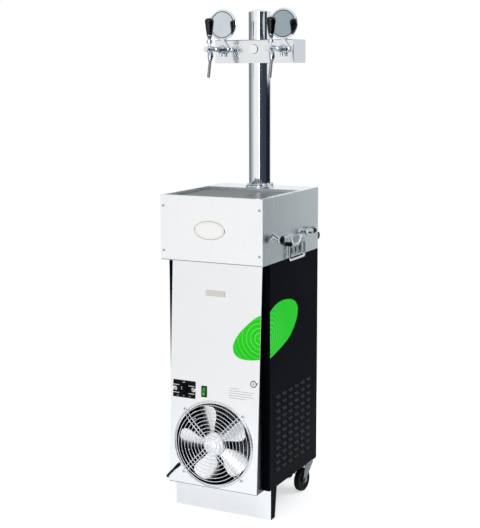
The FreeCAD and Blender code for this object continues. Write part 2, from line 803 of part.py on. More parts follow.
def drip_tray():
    half, front, rear = tray_opening()
    c = TRAY_CLEARANCE
    w = TRAY_WALL
    rim_z = TOP_Z + TRAY_LIP_HEIGHT
    ledge_z = TOP_Z - TRAY_LEDGE_DROP
    bottom_z = TOP_Z - TRAY_FULL_DROP
    lip = box(-half - TRAY_LIP + c, half + TRAY_LIP - c, front - TRAY_LIP + c,
              rear + TRAY_LIP - c, TOP_Z, rim_z)
    upper = box(-half + c, half - c, front + c, rear - c, ledge_z, rim_z)
    g = c + TRAY_LEDGE
    lower = box(-half + g, half - g, front + g, rear - g, bottom_z, rim_z)
    upper_hollow = box(-half + c + w, half - c - w, front + c + w, rear - c - w,
                       ledge_z + w, rim_z + w)
    g = g + w
    lower_hollow = box(-half + g, half - g, front + g, rear - g, bottom_z + w, rim_z + w)
    return joined([lip, upper, lower]).cut(upper_hollow.fuse(lower_hollow))


def grid_bounds():
    half, front, rear = tray_opening()
    inset = TRAY_CLEARANCE + TRAY_WALL + TRAY_CLEARANCE
    z = TOP_Z - TRAY_LEDGE_DROP + TRAY_WALL + GRID_GAP
    return half - inset, front + inset, rear - inset, z


def drip_grid():
    half, front, rear, z = grid_bounds()
    corners = [point(-half, front, z), point(half, front, z), point(half, rear, z),
               point(-half, rear, z)]
    loops = [Part.makePolygon(corners + [corners[0]])]
    reach = GRID_HOLE / math.sqrt(2)
    step = GRID_PITCH / math.sqrt(2)
    columns = int((half - GRID_EDGE) / step)
    middle = (front + rear) / 2
    rows = int(((rear - front) / 2 - GRID_EDGE) / step)
    for column in range(-columns, columns + 1):
        for row in range(-rows, rows + 1):
            if (column + row) % 2:
                continue
            x = column * step
            depth = middle + row * step
            diamond = [point(x - reach, depth, z), point(x, depth - reach, z),
                       point(x + reach, depth, z), point(x, depth + reach, z)]
            loops.append(Part.makePolygon(diamond + [diamond[0]]))
    return Part.Face(loops).extrude(V(0, 0, GRID_THICKNESS))


# Ice bank

def bath_tank():
    half = JACKET_HALF - JACKET_WALL - BATH_CLEARANCE
    front = JACKET_FRONT + JACKET_WALL + BATH_CLEARANCE
    rear = JACKET_FRONT + JACKET_LENGTH - JACKET_WALL - BATH_CLEARANCE
    bottom = SHELF_TOP + JACKET_WALL
    outer = box(-half, half, front, rear, bottom, JACKET_TOP)
    return outer.cut(box(-half + SHEET, half - SHEET, front + SHEET, rear - SHEET,
                         bottom + SHEET, JACKET_TOP + SHEET))


def bath_insulation():
    rear = JACKET_FRONT + JACKET_LENGTH
    w = JACKET_WALL
    jacket = box(-JACKET_HALF, JACKET_HALF, JACKET_FRONT, rear, SHELF_TOP, JACKET_TOP)
    jacket = jacket.cut(box(-JACKET_HALF + w, JACKET_HALF - w, JACKET_FRONT + w, rear - w,
                            SHELF_TOP + w, JACKET_TOP + w))
    lid = box(-JACKET_HALF, JACKET_HALF, JACKET_FRONT, rear, JACKET_TOP, LID_TOP)
    holes = [rod(point(0, BATH_DEPTH, JACKET_TOP), point(0, BATH_DEPTH, LID_TOP),
                 AGITATOR_SHAFT + 3 * PIPE_CLEARANCE)]
    for tube_radius, places in ((LINE_RADIUS, line_lid_places()),
                                (REFRIGERANT_RADIUS, refrigerant_lid_places())):
        for place in places:
            holes.append(rod(V(place.x, place.y, JACKET_TOP), V(place.x, place.y, LID_TOP),
                             tube_radius + PIPE_CLEARANCE))
    return Part.makeCompound([jacket, lid.cut(Part.makeCompound(holes))])


def agitator_motor():
    body = rod(point(0, BATH_DEPTH, LID_TOP), point(0, BATH_DEPTH, LID_TOP + AGITATOR_HEIGHT),
               AGITATOR_RADIUS)
    bore = rod(point(0, BATH_DEPTH, LID_TOP), point(0, BATH_DEPTH, LID_TOP + AGITATOR_HEIGHT / 4),
               AGITATOR_SHAFT + TURN_CLEARANCE)
    return body.cut(bore)


def agitator_impeller():
    top = LID_TOP + AGITATOR_HEIGHT / 4 - 1
    bottom = LID_TOP - AGITATOR_DROP
    shaft = rod(point(0, BATH_DEPTH, bottom), point(0, BATH_DEPTH, top), AGITATOR_SHAFT)
    hub_z = bottom + 2 * AGITATOR_SHAFT
    centre = point(0, BATH_DEPTH, hub_z)
    hub = rod(centre.add(V(0, 0, -7)), centre.add(V(0, 0, 7)), 2 * AGITATOR_SHAFT)
    pieces = [shaft, hub]
    for i in range(PROPELLER_BLADES):
        blade = slab(AGITATOR_SHAFT, PROPELLER_RADIUS, -9, 9, -0.8, 0.8)
        blade.rotate(V(0, 0, 0), V(1, 0, 0), 30)
        blade.rotate(V(0, 0, 0), V(0, 0, 1), 360 / PROPELLER_BLADES * i)
        pieces.append(moved(blade, centre))
    return joined(pieces)


def tangent_start(radius, x, lead):
    """Angle of a coil's first point whose lead-in of this length begins at x."""
    reach = math.hypot(radius, lead)
    return math.acos(x / reach) + math.atan2(lead, radius)


def tangent_end(radius, x, lead):
    """Angle of a coil's last point whose lead-out of this length ends at x."""
    reach = math.hypot(radius, lead)
    return math.acos(x / reach) - math.atan2(lead, radius)


def coil_run(radius, pitch, turns, x_in, lead_in, x_out, lead_out):
    """Edges of an upright coil with the places where its straight ends begin."""
    start = tangent_start(radius, x_in, lead_in)
    end = tangent_end(radius, x_out, lead_out)
    whole = turns + (end - start) / (2 * math.pi)
    place, heading = helix(0, BATH_DEPTH, COIL_BOTTOM_Z, radius, pitch, start)
    first = place(0)
    last = place(whole)
    before = first.sub(heading(0).multiply(lead_in))
    after = last.add(heading(whole).multiply(lead_out))
    return winding(place, heading, whole), before, first, last, after


LINE_LEAD_IN = (50.0, 43.0)
LINE_LEAD_OUT = 22.0
EVAPORATOR_LEAD = 110.0


def line_coil(index):
    side = (-1, 1)[index]
    return coil_run(LINE_COIL_RADII[index], LINE_COIL_PITCH, LINE_COIL_TURNS,
                    side * LINE_INLET_X, LINE_LEAD_IN[index], side * LINE_RISER_X, LINE_LEAD_OUT)


def evaporator_coil():
    return coil_run(EVAPORATOR_RADIUS, EVAPORATOR_PITCH, EVAPORATOR_TURNS,
                    LIQUID_X, EVAPORATOR_LEAD, -LIQUID_X + 16, EVAPORATOR_LEAD)


def line_lid_places():
    places = []
    for index in (0, 1):
        edges, before, first, last, after = line_coil(index)
        places += [before, after]
    return places


def refrigerant_lid_places():
    edges, before, first, last, after = evaporator_coil()
    return [before, after]


def suction_x():
    return refrigerant_lid_places()[1].x


def product_lines():
    lines = []
    for index, side in ((0, -1), (1, 1)):
        edges, before, first, last, after = line_coil(index)
        inlet = point(side * LINE_INLET_X, HEAD_DEPTH - 4 * SHEET, LINE_INLET_Z)
        above_in = V(before.x, before.y, LINE_INLET_Z)
        down, radii = rounded_edges([inlet, above_in, before, first], 3 * LINE_RADIUS)
        riser_x = side * LINE_RISER_X
        tap_x = side * TAP_X
        jog_z = LID_TOP + AGITATOR_HEIGHT
        shank_end = BAR_FRONT + SHANK_LENGTH
        up, radii = rounded_edges(
            [last, after, V(after.x, after.y, jog_z),
             point(riser_x, LINE_RISER_DEPTH, TOP_Z - TRAY_FULL_DROP),
             point(riser_x, LINE_RISER_DEPTH, TAP_Z), point(tap_x, LINE_RISER_DEPTH, TAP_Z),
             point(tap_x, shank_end, TAP_Z)], 3 * LINE_RADIUS)
        lines.append(swept(down + edges + up, LINE_RADIUS))
    return Part.makeCompound(lines)


def refrigerant_lines():
    edges, before, first, last, after = evaporator_coil()
    over_z = LID_TOP + 8 * REFRIGERANT_RADIUS
    low_z = CONDENSER_TOP - 70
    condenser_rear = CONDENSER_FRONT + CONDENSER_DEPTH
    bend = 3 * REFRIGERANT_RADIUS
    supply, radii = rounded_edges(
        [point(LIQUID_X, condenser_rear, low_z), point(LIQUID_X, DUCT_DEPTH, low_z),
         point(LIQUID_X, DUCT_DEPTH, over_z), V(LIQUID_X, before.y, over_z), before, first], bend)
    suction_z = FLOOR_TOP + COMPRESSOR_HEIGHT / 2
    back, radii = rounded_edges(
        [last, after, V(after.x, after.y, over_z), point(after.x, DUCT_DEPTH, over_z),
         point(after.x, DUCT_DEPTH, suction_z), point(after.x, COMPRESSOR_DEPTH, suction_z),
         point(-COMPRESSOR_RADIUS, COMPRESSOR_DEPTH, suction_z)], bend)
    circuit = swept(supply + edges + back, REFRIGERANT_RADIUS)
    discharge = rod(point(0, condenser_rear, suction_z),
                    point(0, COMPRESSOR_DEPTH - COMPRESSOR_RADIUS, suction_z), REFRIGERANT_RADIUS)
    return Part.makeCompound([circuit, discharge])


# Refrigeration

def compressor():
    foot_z = FLOOR_TOP + COMPRESSOR_FOOT
    r = COMPRESSOR_RADIUS
    h = COMPRESSOR_HEIGHT
    shell = turned([(0, 0), (r * 0.8, 0), (r, h * 0.14), (r, h * 0.7), (r * 0.93, h * 0.84),
                    (r * 0.72, h * 0.95), (r * 0.4, h), (0, h)],
                   point(0, COMPRESSOR_DEPTH, foot_z), V(0, 0, 1))
    foot = box(-100, 100, COMPRESSOR_DEPTH - 60, COMPRESSOR_DEPTH + 60, foot_z, foot_z + 3)
    pieces = [joined([shell, foot])]
    for x in (-88.0, 88.0):
        for depth in (COMPRESSOR_DEPTH - 46, COMPRESSOR_DEPTH + 46):
            pieces.append(rod(point(x, depth, FLOOR_TOP), point(x, depth, foot_z), 11))
    return Part.makeCompound(pieces)


def condenser():
    """Upright fins on a core, cut as one comb outline, between two end plates."""
    front = CONDENSER_FRONT
    rear = CONDENSER_FRONT + CONDENSER_DEPTH
    middle = (front + rear) / 2
    core0 = middle - CONDENSER_CORE / 2
    core1 = middle + CONDENSER_CORE / 2
    count = int(2 * CONDENSER_HALF / CONDENSER_FIN_PITCH)
    left = -count * CONDENSER_FIN_PITCH / 2
    z = CONDENSER_BOTTOM
    near = []
    far = []
    for i in range(count):
        x0 = left + i * CONDENSER_FIN_PITCH
        x1 = x0 + CONDENSER_FIN
        x2 = x0 + CONDENSER_FIN_PITCH
        near += [point(x0, front, z), point(x1, front, z), point(x1, core0, z), point(x2, core0, z)]
        far += [point(x0, rear, z), point(x1, rear, z), point(x1, core1, z), point(x2, core1, z)]
    far.reverse()
    block = prism(near + far, V(0, 0, CONDENSER_TOP - CONDENSER_BOTTOM))
    pieces = [block]
    for x in (left - PAN_THICKNESS, left + count * CONDENSER_FIN_PITCH):
        pieces.append(box(x, x + PAN_THICKNESS, front, rear, FLOOR_TOP, CONDENSER_TOP))
    return joined(pieces)


# Fan. Each shape is drawn about the fan's centre with Z pointing out of the cover.

def fan_shroud():
    back = -SHEET - SHROUD_LENGTH
    outer = FAN_HOLE_RADIUS + SHROUD_WALL
    ring = rod(V(0, 0, -SHEET), V(0, 0, back), outer)
    lip = rod(V(0, 0, -SHEET), V(0, 0, -SHEET - SHROUD_WALL), outer + SHROUD_FLANGE)
    tube = ring.fuse(lip).cut(rod(V(0, 0, 0), V(0, 0, back - 1), FAN_HOLE_RADIUS))
    seat = rod(V(0, 0, back), V(0, 0, back + SHROUD_WALL), FAN_MOTOR_RADIUS)
    arms = []
    for turn in (45, 135):
        arm = slab(-FAN_HOLE_RADIUS - 1, FAN_HOLE_RADIUS + 1, -SHROUD_ARM / 2, SHROUD_ARM / 2,
                   back, back + SHROUD_WALL)
        arms.append(spun(arm, V(0, 0, 0), V(0, 0, 1), turn))
    hole = rod(V(0, 0, back - 1), V(0, 0, 0), 2 * FAN_SHAFT)
    return on_cover(joined([tube, seat] + arms).cut(hole), 0, FAN_Z)


def fan_motor():
    front = -SHEET - SHROUD_LENGTH
    body = rod(V(0, 0, front), V(0, 0, front - FAN_MOTOR_LENGTH), FAN_MOTOR_RADIUS)
    body = body.makeChamfer(3, [body.Edges[i] for i in (0, 2)])
    bore = rod(V(0, 0, front + 1), V(0, 0, front - FAN_MOTOR_LENGTH / 2),
               FAN_SHAFT + TURN_CLEARANCE)
    return on_cover(body.cut(bore), 0, FAN_Z)


def fan_blade():
    """A cambered paddle, cut from a tube whose axis is the blade's own length."""
    root = FAN_HUB_RADIUS * 0.8
    tip = FAN_RADIUS
    outline = [(root, -13), (54, -21), (75, -34), (97, -42), (113, -39), (123.5, -20),
               (tip, 4), (123, 24), (112, 38), (92, 41), (71, 33), (52, 20), (root, 13)]
    curve = Part.BSplineCurve()
    curve.interpolate([V(u, v, -30) for u, v in outline])
    closing = Part.LineSegment(V(root, 13, -30), V(root, -13, -30)).toShape()
    paddle = Part.Face(Part.Wire([curve.toShape(), closing])).extrude(V(0, 0, 60))
    camber = FAN_CAMBER
    tube = rod(V(0, 0, -camber), V(tip + 10, 0, -camber), camber)
    tube = tube.cut(rod(V(-1, 0, -camber), V(tip + 11, 0, -camber), camber - FAN_BLADE_THICKNESS))
    blade = paddle.common(tube)
    blade = moved(blade, V(0, 0, FAN_BLADE_THICKNESS / 2))
    return spun(blade, V(0, 0, 0), V(1, 0, 0), FAN_BLADE_PITCH)


def fan_blades():
    back = FAN_HUB_FRONT - FAN_HUB_LENGTH
    r = FAN_HUB_RADIUS
    hub = turned([(0, back), (r, back), (r, FAN_HUB_FRONT - 5), (r - 4, FAN_HUB_FRONT - 1),
                  (r - 9, FAN_HUB_FRONT), (0, FAN_HUB_FRONT)], V(0, 0, 0), V(0, 0, 1))
    shaft_end = -SHEET - SHROUD_LENGTH - FAN_MOTOR_LENGTH / 2 + 1
    pieces = [hub, rod(V(0, 0, back + 1), V(0, 0, shaft_end), FAN_SHAFT)]
    for i in range(FAN_BLADES):
        blade = moved(fan_blade(), V(0, 0, FAN_BLADE_PLANE))
        pieces.append(spun(blade, V(0, 0, 0), V(0, 0, 1),
                           FAN_FIRST_BLADE + 360 / FAN_BLADES * i))
    return on_cover(joined(pieces), 0, FAN_Z)


def spoke_height(radius):
    """Height of a spoke wire's axis above the cover at a distance from the centre."""
    low = GUARD_WIRE
    run = GUARD_RADIUS - GUARD_SHOULDER
    drop = GUARD_DOME - low
    bend = (run * run + drop * drop) / (2 * drop)
    if radius <= GUARD_SHOULDER:
        return GUARD_DOME, bend
    return GUARD_DOME - bend + math.sqrt(bend * bend - (radius - GUARD_SHOULDER) ** 2), bend


def guard_spoke(start):
    """A straight wire that turns down over the shoulder to the rim."""
    height, bend = spoke_height(0)
    end = V(GUARD_RADIUS, 0, spoke_height(GUARD_RADIUS)[0])
    half_way = (GUARD_SHOULDER + GUARD_RADIUS) / 2
    middle = V(half_way, 0, spoke_height(half_way)[0])
    knee = V(GUARD_SHOULDER, 0, height)
    straight = rod(V(start, 0, height), knee, GUARD_SPOKE_WIRE)
    curve = Part.Wire([Part.Arc(knee, middle, end).toShape()])
    ring = Part.Wire(Part.Circle(knee, V(1, 0, 0), GUARD_SPOKE_WIRE).toShape())
    return [straight, curve.makePipeShell([ring], True, False)]


def fan_guard():
    rim = Part.makeTorus(GUARD_RADIUS, GUARD_WIRE, V(0, 0, GUARD_WIRE + 0.3))
    pieces = [rim]
    for i in range(GUARD_RINGS):
        radius = GUARD_FIRST_RING + i * GUARD_RING_PITCH
        height = spoke_height(radius)[0] + GUARD_RING_WIRE + GUARD_SPOKE_WIRE - 0.6
        pieces.append(Part.makeTorus(radius, GUARD_RING_WIRE, V(0, 0, height)))
    for turn in (45, 135, 225, 315):
        for side in (-1, 1):
            for wire in guard_spoke(GUARD_FIRST_RING - 2):
                wire = moved(wire, V(0, side * GUARD_SPOKE_SPREAD, 0))
                pieces.append(spun(wire, V(0, 0, 0), V(0, 0, 1), turn))
    for u, v in LUG_PLACES:
        angle = math.degrees(math.atan2(v, u))
        lug = slab(GUARD_RADIUS - 2, LUG_CIRCLE, -6, 6, 0, 2)
        lug = lug.fuse(rod(V(LUG_CIRCLE, 0, 0), V(LUG_CIRCLE, 0, 2), 6))
        lug = lug.cut(rod(V(LUG_CIRCLE, 0, -1), V(LUG_CIRCLE, 0, 3),
                          SCREW_SHANK + SCREW_CLEARANCE))
        pieces.append(spun(lug, V(0, 0, 0), V(0, 0, 1), angle))
    return on_cover(joined(pieces), 0, FAN_Z)


# Controls

def thermostat_plate():
    w = THERMOSTAT_WIDTH / 2
    h = THERMOSTAT_HEIGHT / 2
    t = THERMOSTAT_THICKNESS
    plate = slab(-w, w, -h, h, 0, t)
    for side in (-1, 1):
        plate = plate.cut(rod(V(side * NOTCH_X, 0, -1), V(side * NOTCH_X, 0, t + 1),
                              THERMOSTAT_NOTCH))
        plate = plate.cut(slab(min(side * NOTCH_X, side * (w + 1)), max(side * NOTCH_X, side * (w + 1)),
                               -THERMOSTAT_NOTCH * 0.6, THERMOSTAT_NOTCH * 0.6, -1, t + 1))
    b = THERMOSTAT_BODY / 2
    body = slab(-b, b, -b, b, -THERMOSTAT_BODY_DEPTH, t / 2)
    bore = rod(V(0, 0, t + 1), V(0, 0, -THERMOSTAT_BODY_DEPTH / 2), KNOB_SHAFT + TURN_CLEARANCE)
    return on_cover(joined([plate, body]).cut(bore), THERMOSTAT_X, THERMOSTAT_Z)


def thermostat_knob():
    base = THERMOSTAT_THICKNESS + 0.4
    r = KNOB_RADIUS
    skirt = turned([(0, base), (r, base), (r, base + 3), (r - 3, base + 4), (r - 4, base + KNOB_HEIGHT - 1),
                    (r - 5, base + KNOB_HEIGHT), (0, base + KNOB_HEIGHT)], V(0, 0, 0), V(0, 0, 1))
    ridge = slab(-2.5, 2.5, -r + 3, r - 2, base + 4, base + KNOB_HEIGHT + 2)
    shaft = rod(V(0, 0, base), V(0, 0, -THERMOSTAT_BODY_DEPTH / 2 + 1), KNOB_SHAFT)
    return on_cover(joined([skirt, ridge, shaft]), THERMOSTAT_X, THERMOSTAT_Z)


def switch_housing():
    w = SWITCH_WIDTH / 2
    h = SWITCH_HEIGHT / 2
    rim = SWITCH_RIM
    bezel = slab(-w, w, -h, h, 0, SWITCH_BEZEL)
    body = slab(-w + rim, w - rim, -h + rim, h - rim, -SWITCH_DEPTH, SWITCH_BEZEL)
    wide = ROCKER_WIDTH / 2 + ROCKER_GAP
    tall = ROCKER_HEIGHT / 2 + ROCKER_GAP
    well = slab(-wide, wide, -tall, tall, -SWITCH_DEPTH / 2, SWITCH_BEZEL + 1)
    pin = rod(V(-wide - ROCKER_GAP, 0, -ROCKER_PIN_DROP), V(wide + ROCKER_GAP, 0, -ROCKER_PIN_DROP),
              ROCKER_PIN_RADIUS)
    return on_cover(joined([bezel, body]).cut(well).fuse(pin), SWITCH_X, SWITCH_Z)


def switch_rocker():
    """A rocker whose two faces lie ROCKER_TRAVEL degrees apart, pressed in at its top."""
    half = ROCKER_HEIGHT / 2 - ROCKER_GAP
    edge = ROCKER_CREST - half * math.tan(math.radians(ROCKER_TRAVEL / 2))
    foot = -2 * ROCKER_PIN_DROP
    corners = [V(0, -half, foot), V(0, half, foot), V(0, half, edge), V(0, 0, ROCKER_CREST),
               V(0, -half, edge)]
    block = prism(corners, V(ROCKER_WIDTH, 0, 0))
    block.translate(V(-ROCKER_WIDTH / 2, 0, 0))
    bore = rod(V(-ROCKER_WIDTH, 0, -ROCKER_PIN_DROP), V(ROCKER_WIDTH, 0, -ROCKER_PIN_DROP),
               ROCKER_PIN_RADIUS + TURN_CLEARANCE)
    block = block.cut(bore)
    block.rotate(V(0, 0, -ROCKER_PIN_DROP), V(1, 0, 0), -ROCKER_TRAVEL / 2)
    return on_cover(block, SWITCH_X, SWITCH_Z)


def cover_lock():
    flange_back = CABINET_SETBACK + SHEET
    reach = (flange_back - cover_lean(LOCK_Z)) / math.cos(math.radians(COVER_SLOPE))
    cam_front = -reach - LOCK_CAM_GAP
    cam_back = cam_front - LOCK_CAM_THICKNESS
    head = rod(V(0, 0, 0.2), V(0, 0, LOCK_HEAD_HEIGHT), LOCK_HEAD_RADIUS)
    slot = slab(-0.9, 0.9, -4.5, 4.5, LOCK_HEAD_HEIGHT - 1.5, LOCK_HEAD_HEIGHT + 1)
    barrel = rod(V(0, 0, 1), V(0, 0, cam_back), LOCK_RADIUS)
    cam = slab(0, LOCK_CAM_LENGTH, -LOCK_CAM_WIDTH / 2, LOCK_CAM_WIDTH / 2, cam_back, cam_front)
    return on_cover(joined([head.cut(slot), barrel, cam]), LOCK_X, LOCK_Z)


def name_plates():
    """The oval badge and the label plate, both with nothing on them."""
    badge = Part.Ellipse(V(0, 0, 0), BADGE_WIDTH / 2, BADGE_HEIGHT / 2)
    badge = Part.Face(Part.Wire(badge.toShape())).extrude(V(0, 0, BADGE_THICKNESS))
    badge.rotate(V(0, 0, 0), V(1, 0, 0), 90)
    badge.translate(point(BADGE_X, 0, BADGE_Z))
    w = LABEL_WIDTH / 2
    h = LABEL_HEIGHT / 2
    label = on_cover(slab(-w, w, -h, h, 0, LABEL_THICKNESS), LABEL_X, LABEL_Z)
    return Part.makeCompound([badge, label])


def screws():
    down = V(0, -1, 0)
    pieces = []
    for x, z in HEAD_SCREW_PLACES:
        pieces.append(facing(screw(8), point(x, 0, z), down))
    for u, v in LUG_PLACES:
        pieces.append(on_cover(moved(screw(10), V(u, v, 2)), 0, FAN_Z))
    for u, v in THERMOSTAT_SCREWS:
        pieces.append(on_cover(moved(screw(8), V(u, v, 0)), THERMOSTAT_X, THERMOSTAT_Z))
    plate_bottom = GROUND_GAP - CASTER_PLATE_THICKNESS
    for x, depth in CASTER_BOLTS:
        pieces.append(facing(screw(10), point(x, depth, plate_bottom), V(0, 0, -1)))
    for x, depth in FOOT_BOLTS:
        pieces.append(facing(screw(10), point(x, depth, GROUND_GAP - FOOT_WALL), V(0, 0, -1)))
    return Part.makeCompound(pieces)


# Column and cross bar

def column_flange():
    base = point(0, COLUMN_DEPTH, TOP_Z)
    inner = COLUMN_RADIUS + SCREW_CLEARANCE
    top = FLANGE_THICKNESS
    ring = turned([(inner, 0), (FLANGE_RADIUS, 0), (FLANGE_RADIUS, top - 1), (FLANGE_RADIUS - 1, top),
                   (COLUMN_RADIUS + FLANGE_COLLAR, top),
                   (COLUMN_RADIUS + FLANGE_COLLAR, FLANGE_COLLAR_HEIGHT - 1),
                   (COLUMN_RADIUS + FLANGE_COLLAR - 1, FLANGE_COLLAR_HEIGHT),
                   (inner, FLANGE_COLLAR_HEIGHT)], base, V(0, 0, 1))
    pieces = []
    nut_z = TOP_Z + top
    for x, depth in FLANGE_NUTS:
        ring = ring.cut(rod(point(x, depth, TOP_Z), point(x, depth, nut_z),
                            SCREW_SHANK + SCREW_CLEARANCE))
        dome = turned([(0, 0), (5.0, 0), (5.0, 4), (4.4, 4.6), (4.2, 6.5), (3.2, 8.2), (1.8, 9.2), (0, 9.6)],
                      point(x, depth, nut_z), V(0, 0, 1))
        stud = rod(point(x, depth, TOP_Z - SHEET - 6), point(x, depth, nut_z), SCREW_SHANK)
        clear = rod(point(0, COLUMN_DEPTH, TOP_Z), point(0, COLUMN_DEPTH, TOP_Z + 40),
                    COLUMN_RADIUS + FLANGE_COLLAR + SCREW_CLEARANCE)
        pieces.append(dome.cut(clear).fuse(stud))
    return Part.makeCompound([ring] + pieces)


def column_tube():
    start = point(0, COLUMN_DEPTH, TOP_Z)
    end = point(0, COLUMN_DEPTH, COLUMN_TOP)
    tube = rod(start, end, COLUMN_RADIUS).cut(rod(start, end, COLUMN_RADIUS - COLUMN_WALL))
    window = rod(point(-COLUMN_RADIUS, LINE_RISER_DEPTH, TAP_Z),
                 point(COLUMN_RADIUS, LINE_RISER_DEPTH, TAP_Z), LINE_WINDOW / 2)
    return tube.cut(window)


def tower_caps():
    """The column's domed cap, the cross bar's two end caps and the blanking disc."""
    r = COLUMN_RADIUS
    rise = COLUMN_CAP_RISE
    ball = (r * r + rise * rise) / (2 * rise)
    apex = point(0, COLUMN_DEPTH, COLUMN_TOP + rise - ball)
    dome = Part.makeSphere(ball, apex).common(
        rod(point(0, COLUMN_DEPTH, COLUMN_TOP), point(0, COLUMN_DEPTH, COLUMN_TOP + rise + 1), r))
    spigot = rod(point(0, COLUMN_DEPTH, COLUMN_TOP - 12), point(0, COLUMN_DEPTH, COLUMN_TOP),
                 r - COLUMN_WALL - SCREW_CLEARANCE)
    x0 = BAR_HALF - BAR_CAP
    x1 = BAR_HALF - BAR_CAP_PANEL
    rear = BAR_FRONT + BAR_DEPTH
    plate = box(x0, x1, BAR_FRONT, rear, BAR_BOTTOM, BAR_TOP)
    panel = box(x0, BAR_HALF, BAR_FRONT + 3, rear - 3, BAR_BOTTOM + 4, BAR_TOP - 16.5)
    edge = SHEET + SCREW_CLEARANCE
    plug = box(x0 - 8, x0, BAR_FRONT + edge, rear - edge, BAR_BOTTOM + edge, BAR_TOP - edge)
    cap = joined([plate, panel, plug])
    disc = rod(point(0.9, BAR_FRONT - BLANK_PROUD, TAP_Z + 1), point(0.9, BAR_FRONT, TAP_Z + 1), BLANK_RADIUS)
    stub = rod(point(0.9, BAR_FRONT, TAP_Z + 1), point(0.9, BAR_FRONT + 8, TAP_Z + 1), SHANK_RADIUS)
    return Part.makeCompound([dome.fuse(spigot).removeSplitter(), cap, mirrored(cap), disc.fuse(stub)])


def tap_bar():
    x = BAR_HALF - BAR_CAP
    rear = BAR_FRONT + BAR_DEPTH
    outer = box(-x, x, BAR_FRONT, rear, BAR_BOTTOM, BAR_TOP)
    inner = box(-x - 1, x + 1, BAR_FRONT + SHEET, rear - SHEET, BAR_BOTTOM + SHEET, BAR_TOP - SHEET)
    cuts = [rod(point(0, COLUMN_DEPTH, BAR_BOTTOM - 1), point(0, COLUMN_DEPTH, BAR_TOP + 1),
                COLUMN_RADIUS + SCREW_CLEARANCE)]
    for hole_x, z in ((-TAP_X, TAP_Z), (0.9, TAP_Z + 1), (TAP_X, TAP_Z)):
        cuts.append(rod(point(hole_x, BAR_FRONT - 1, z), point(hole_x, BAR_FRONT + 2 * SHEET, z),
                        SHANK_RADIUS + SCREW_CLEARANCE))
    return outer.cut(inner).cut(Part.makeCompound(cuts))


# Taps. Each shape is drawn for the right tap.

def tap_shank():
    front = BAR_FRONT - ROSETTE_THICKNESS
    axis = V(0, 1, 0)
    body = turned([(SHANK_BORE, 0), (ROSETTE_RADIUS - 2, 0), (ROSETTE_RADIUS, 2),
                   (ROSETTE_RADIUS, ROSETTE_THICKNESS), (SHANK_RADIUS, ROSETTE_THICKNESS),
                   (SHANK_RADIUS, ROSETTE_THICKNESS + SHANK_LENGTH),
                   (SHANK_BORE, ROSETTE_THICKNESS + SHANK_LENGTH)],
                  point(TAP_X, front, TAP_Z), axis)
    nut0 = BAR_FRONT + SHEET
    hexagon = [V(TAP_X + 12.5 * math.cos(math.radians(a)), deep(nut0),
                 TAP_Z + 12.5 * math.sin(math.radians(a))) for a in range(0, 360, 60)]
    nut = prism(hexagon, V(0, 8, 0))
    nut = nut.cut(rod(point(TAP_X, nut0 - 1, TAP_Z), point(TAP_X, nut0 + 9, TAP_Z),
                      SHANK_RADIUS + SCREW_CLEARANCE / 2))
    return [body, nut]


def tap_body():
    rear = BAR_FRONT - ROSETTE_THICKNESS
    length = rear - TAP_FRONT
    nut = TAP_NUT_LENGTH
    r = TAP_RADIUS
    f = TAP_FRONT_RADIUS
    barrel = turned([(0, 0), (TAP_NUT_RADIUS - 1, 0), (TAP_NUT_RADIUS, 1), (TAP_NUT_RADIUS, nut - 2),
                     (TAP_NUT_RADIUS - 2, nut), (r, nut + 3), (r - 1.5, nut + 22), (r - 1.5, nut + 42),
                     (r, nut + 54), (r, length - 16), (r - 0.6, length - 14), (f - 1, length - 13),
                     (f - 1, length - 10), (f, length - 9), (f, length - 2), (f - 1.5, length), (0, length)],
                    point(TAP_X, rear, TAP_Z), V(0, -1, 0))
    b = SPOUT_BLOCK_RADIUS
    e = SPOUT_BLOCK_END_RADIUS
    long = SPOUT_BLOCK_LENGTH
    block = turned([(0, 0), (r - 1, 0), (r - 1, 8), (b, 12), (b, 16), (b - 1.2, 17), (b - 1.2, 18.5),
                    (b - 0.2, 19.5), (b - 0.2, 22), (e, long - 1.5), (e - 1, long), (0, long)],
                   point(TAP_X, SPOUT_DEPTH, TAP_Z), spout_way())
    lug = rod(point(TAP_X, rear - 7, TAP_Z), point(TAP_X, rear - 7, TAP_Z - 23), TAP_LUG_RADIUS)
    body = joined([barrel, block, lug])
    pivot = point(TAP_X, LEVER_DEPTH, TAP_Z)
    clear = LEVER_STEM + 0.4
    corners = []
    for tilt, side in ((LEVER_FORWARD, -1), (-LEVER_BACK, 1)):
        a = math.radians(tilt)
        along = V(0, -math.sin(a), math.cos(a))
        across = V(0, side * math.cos(a), side * math.sin(a))
        foot = pivot.add(across.multiply(clear))
        pair = [foot, foot.add(along.multiply(2 * TAP_RADIUS))]
        corners += pair if side < 0 else pair[::-1]
    slot = prism([c.add(V(-clear, 0, 0)) for c in corners], V(2 * clear, 0, 0))
    cavity = Part.makeSphere(LEVER_BALL + 0.3, pivot)
    bores = [spout_axis(SPOUT_RADIUS + SCREW_CLEARANCE),
             lever_pin(LEVER_PIN_RADIUS + TURN_CLEARANCE, 2 * TAP_RADIUS)]
    return body.cut(slot.fuse(cavity)).cut(Part.makeCompound(bores))


def spout_way():
    lean = math.radians(SPOUT_LEAN)
    return V(0, -math.sin(lean), -math.cos(lean))


def spout_axis(radius):
    """A rod along the spout, from its seat in the block to its mouth."""
    start = point(TAP_X, SPOUT_DEPTH, TAP_Z).add(spout_way().multiply(SPOUT_SEAT))
    return rod(start, start.add(spout_way().multiply(SPOUT_LENGTH)), radius)


def tap_spout():
    return spout_axis(SPOUT_RADIUS).cut(spout_axis(SPOUT_BORE))


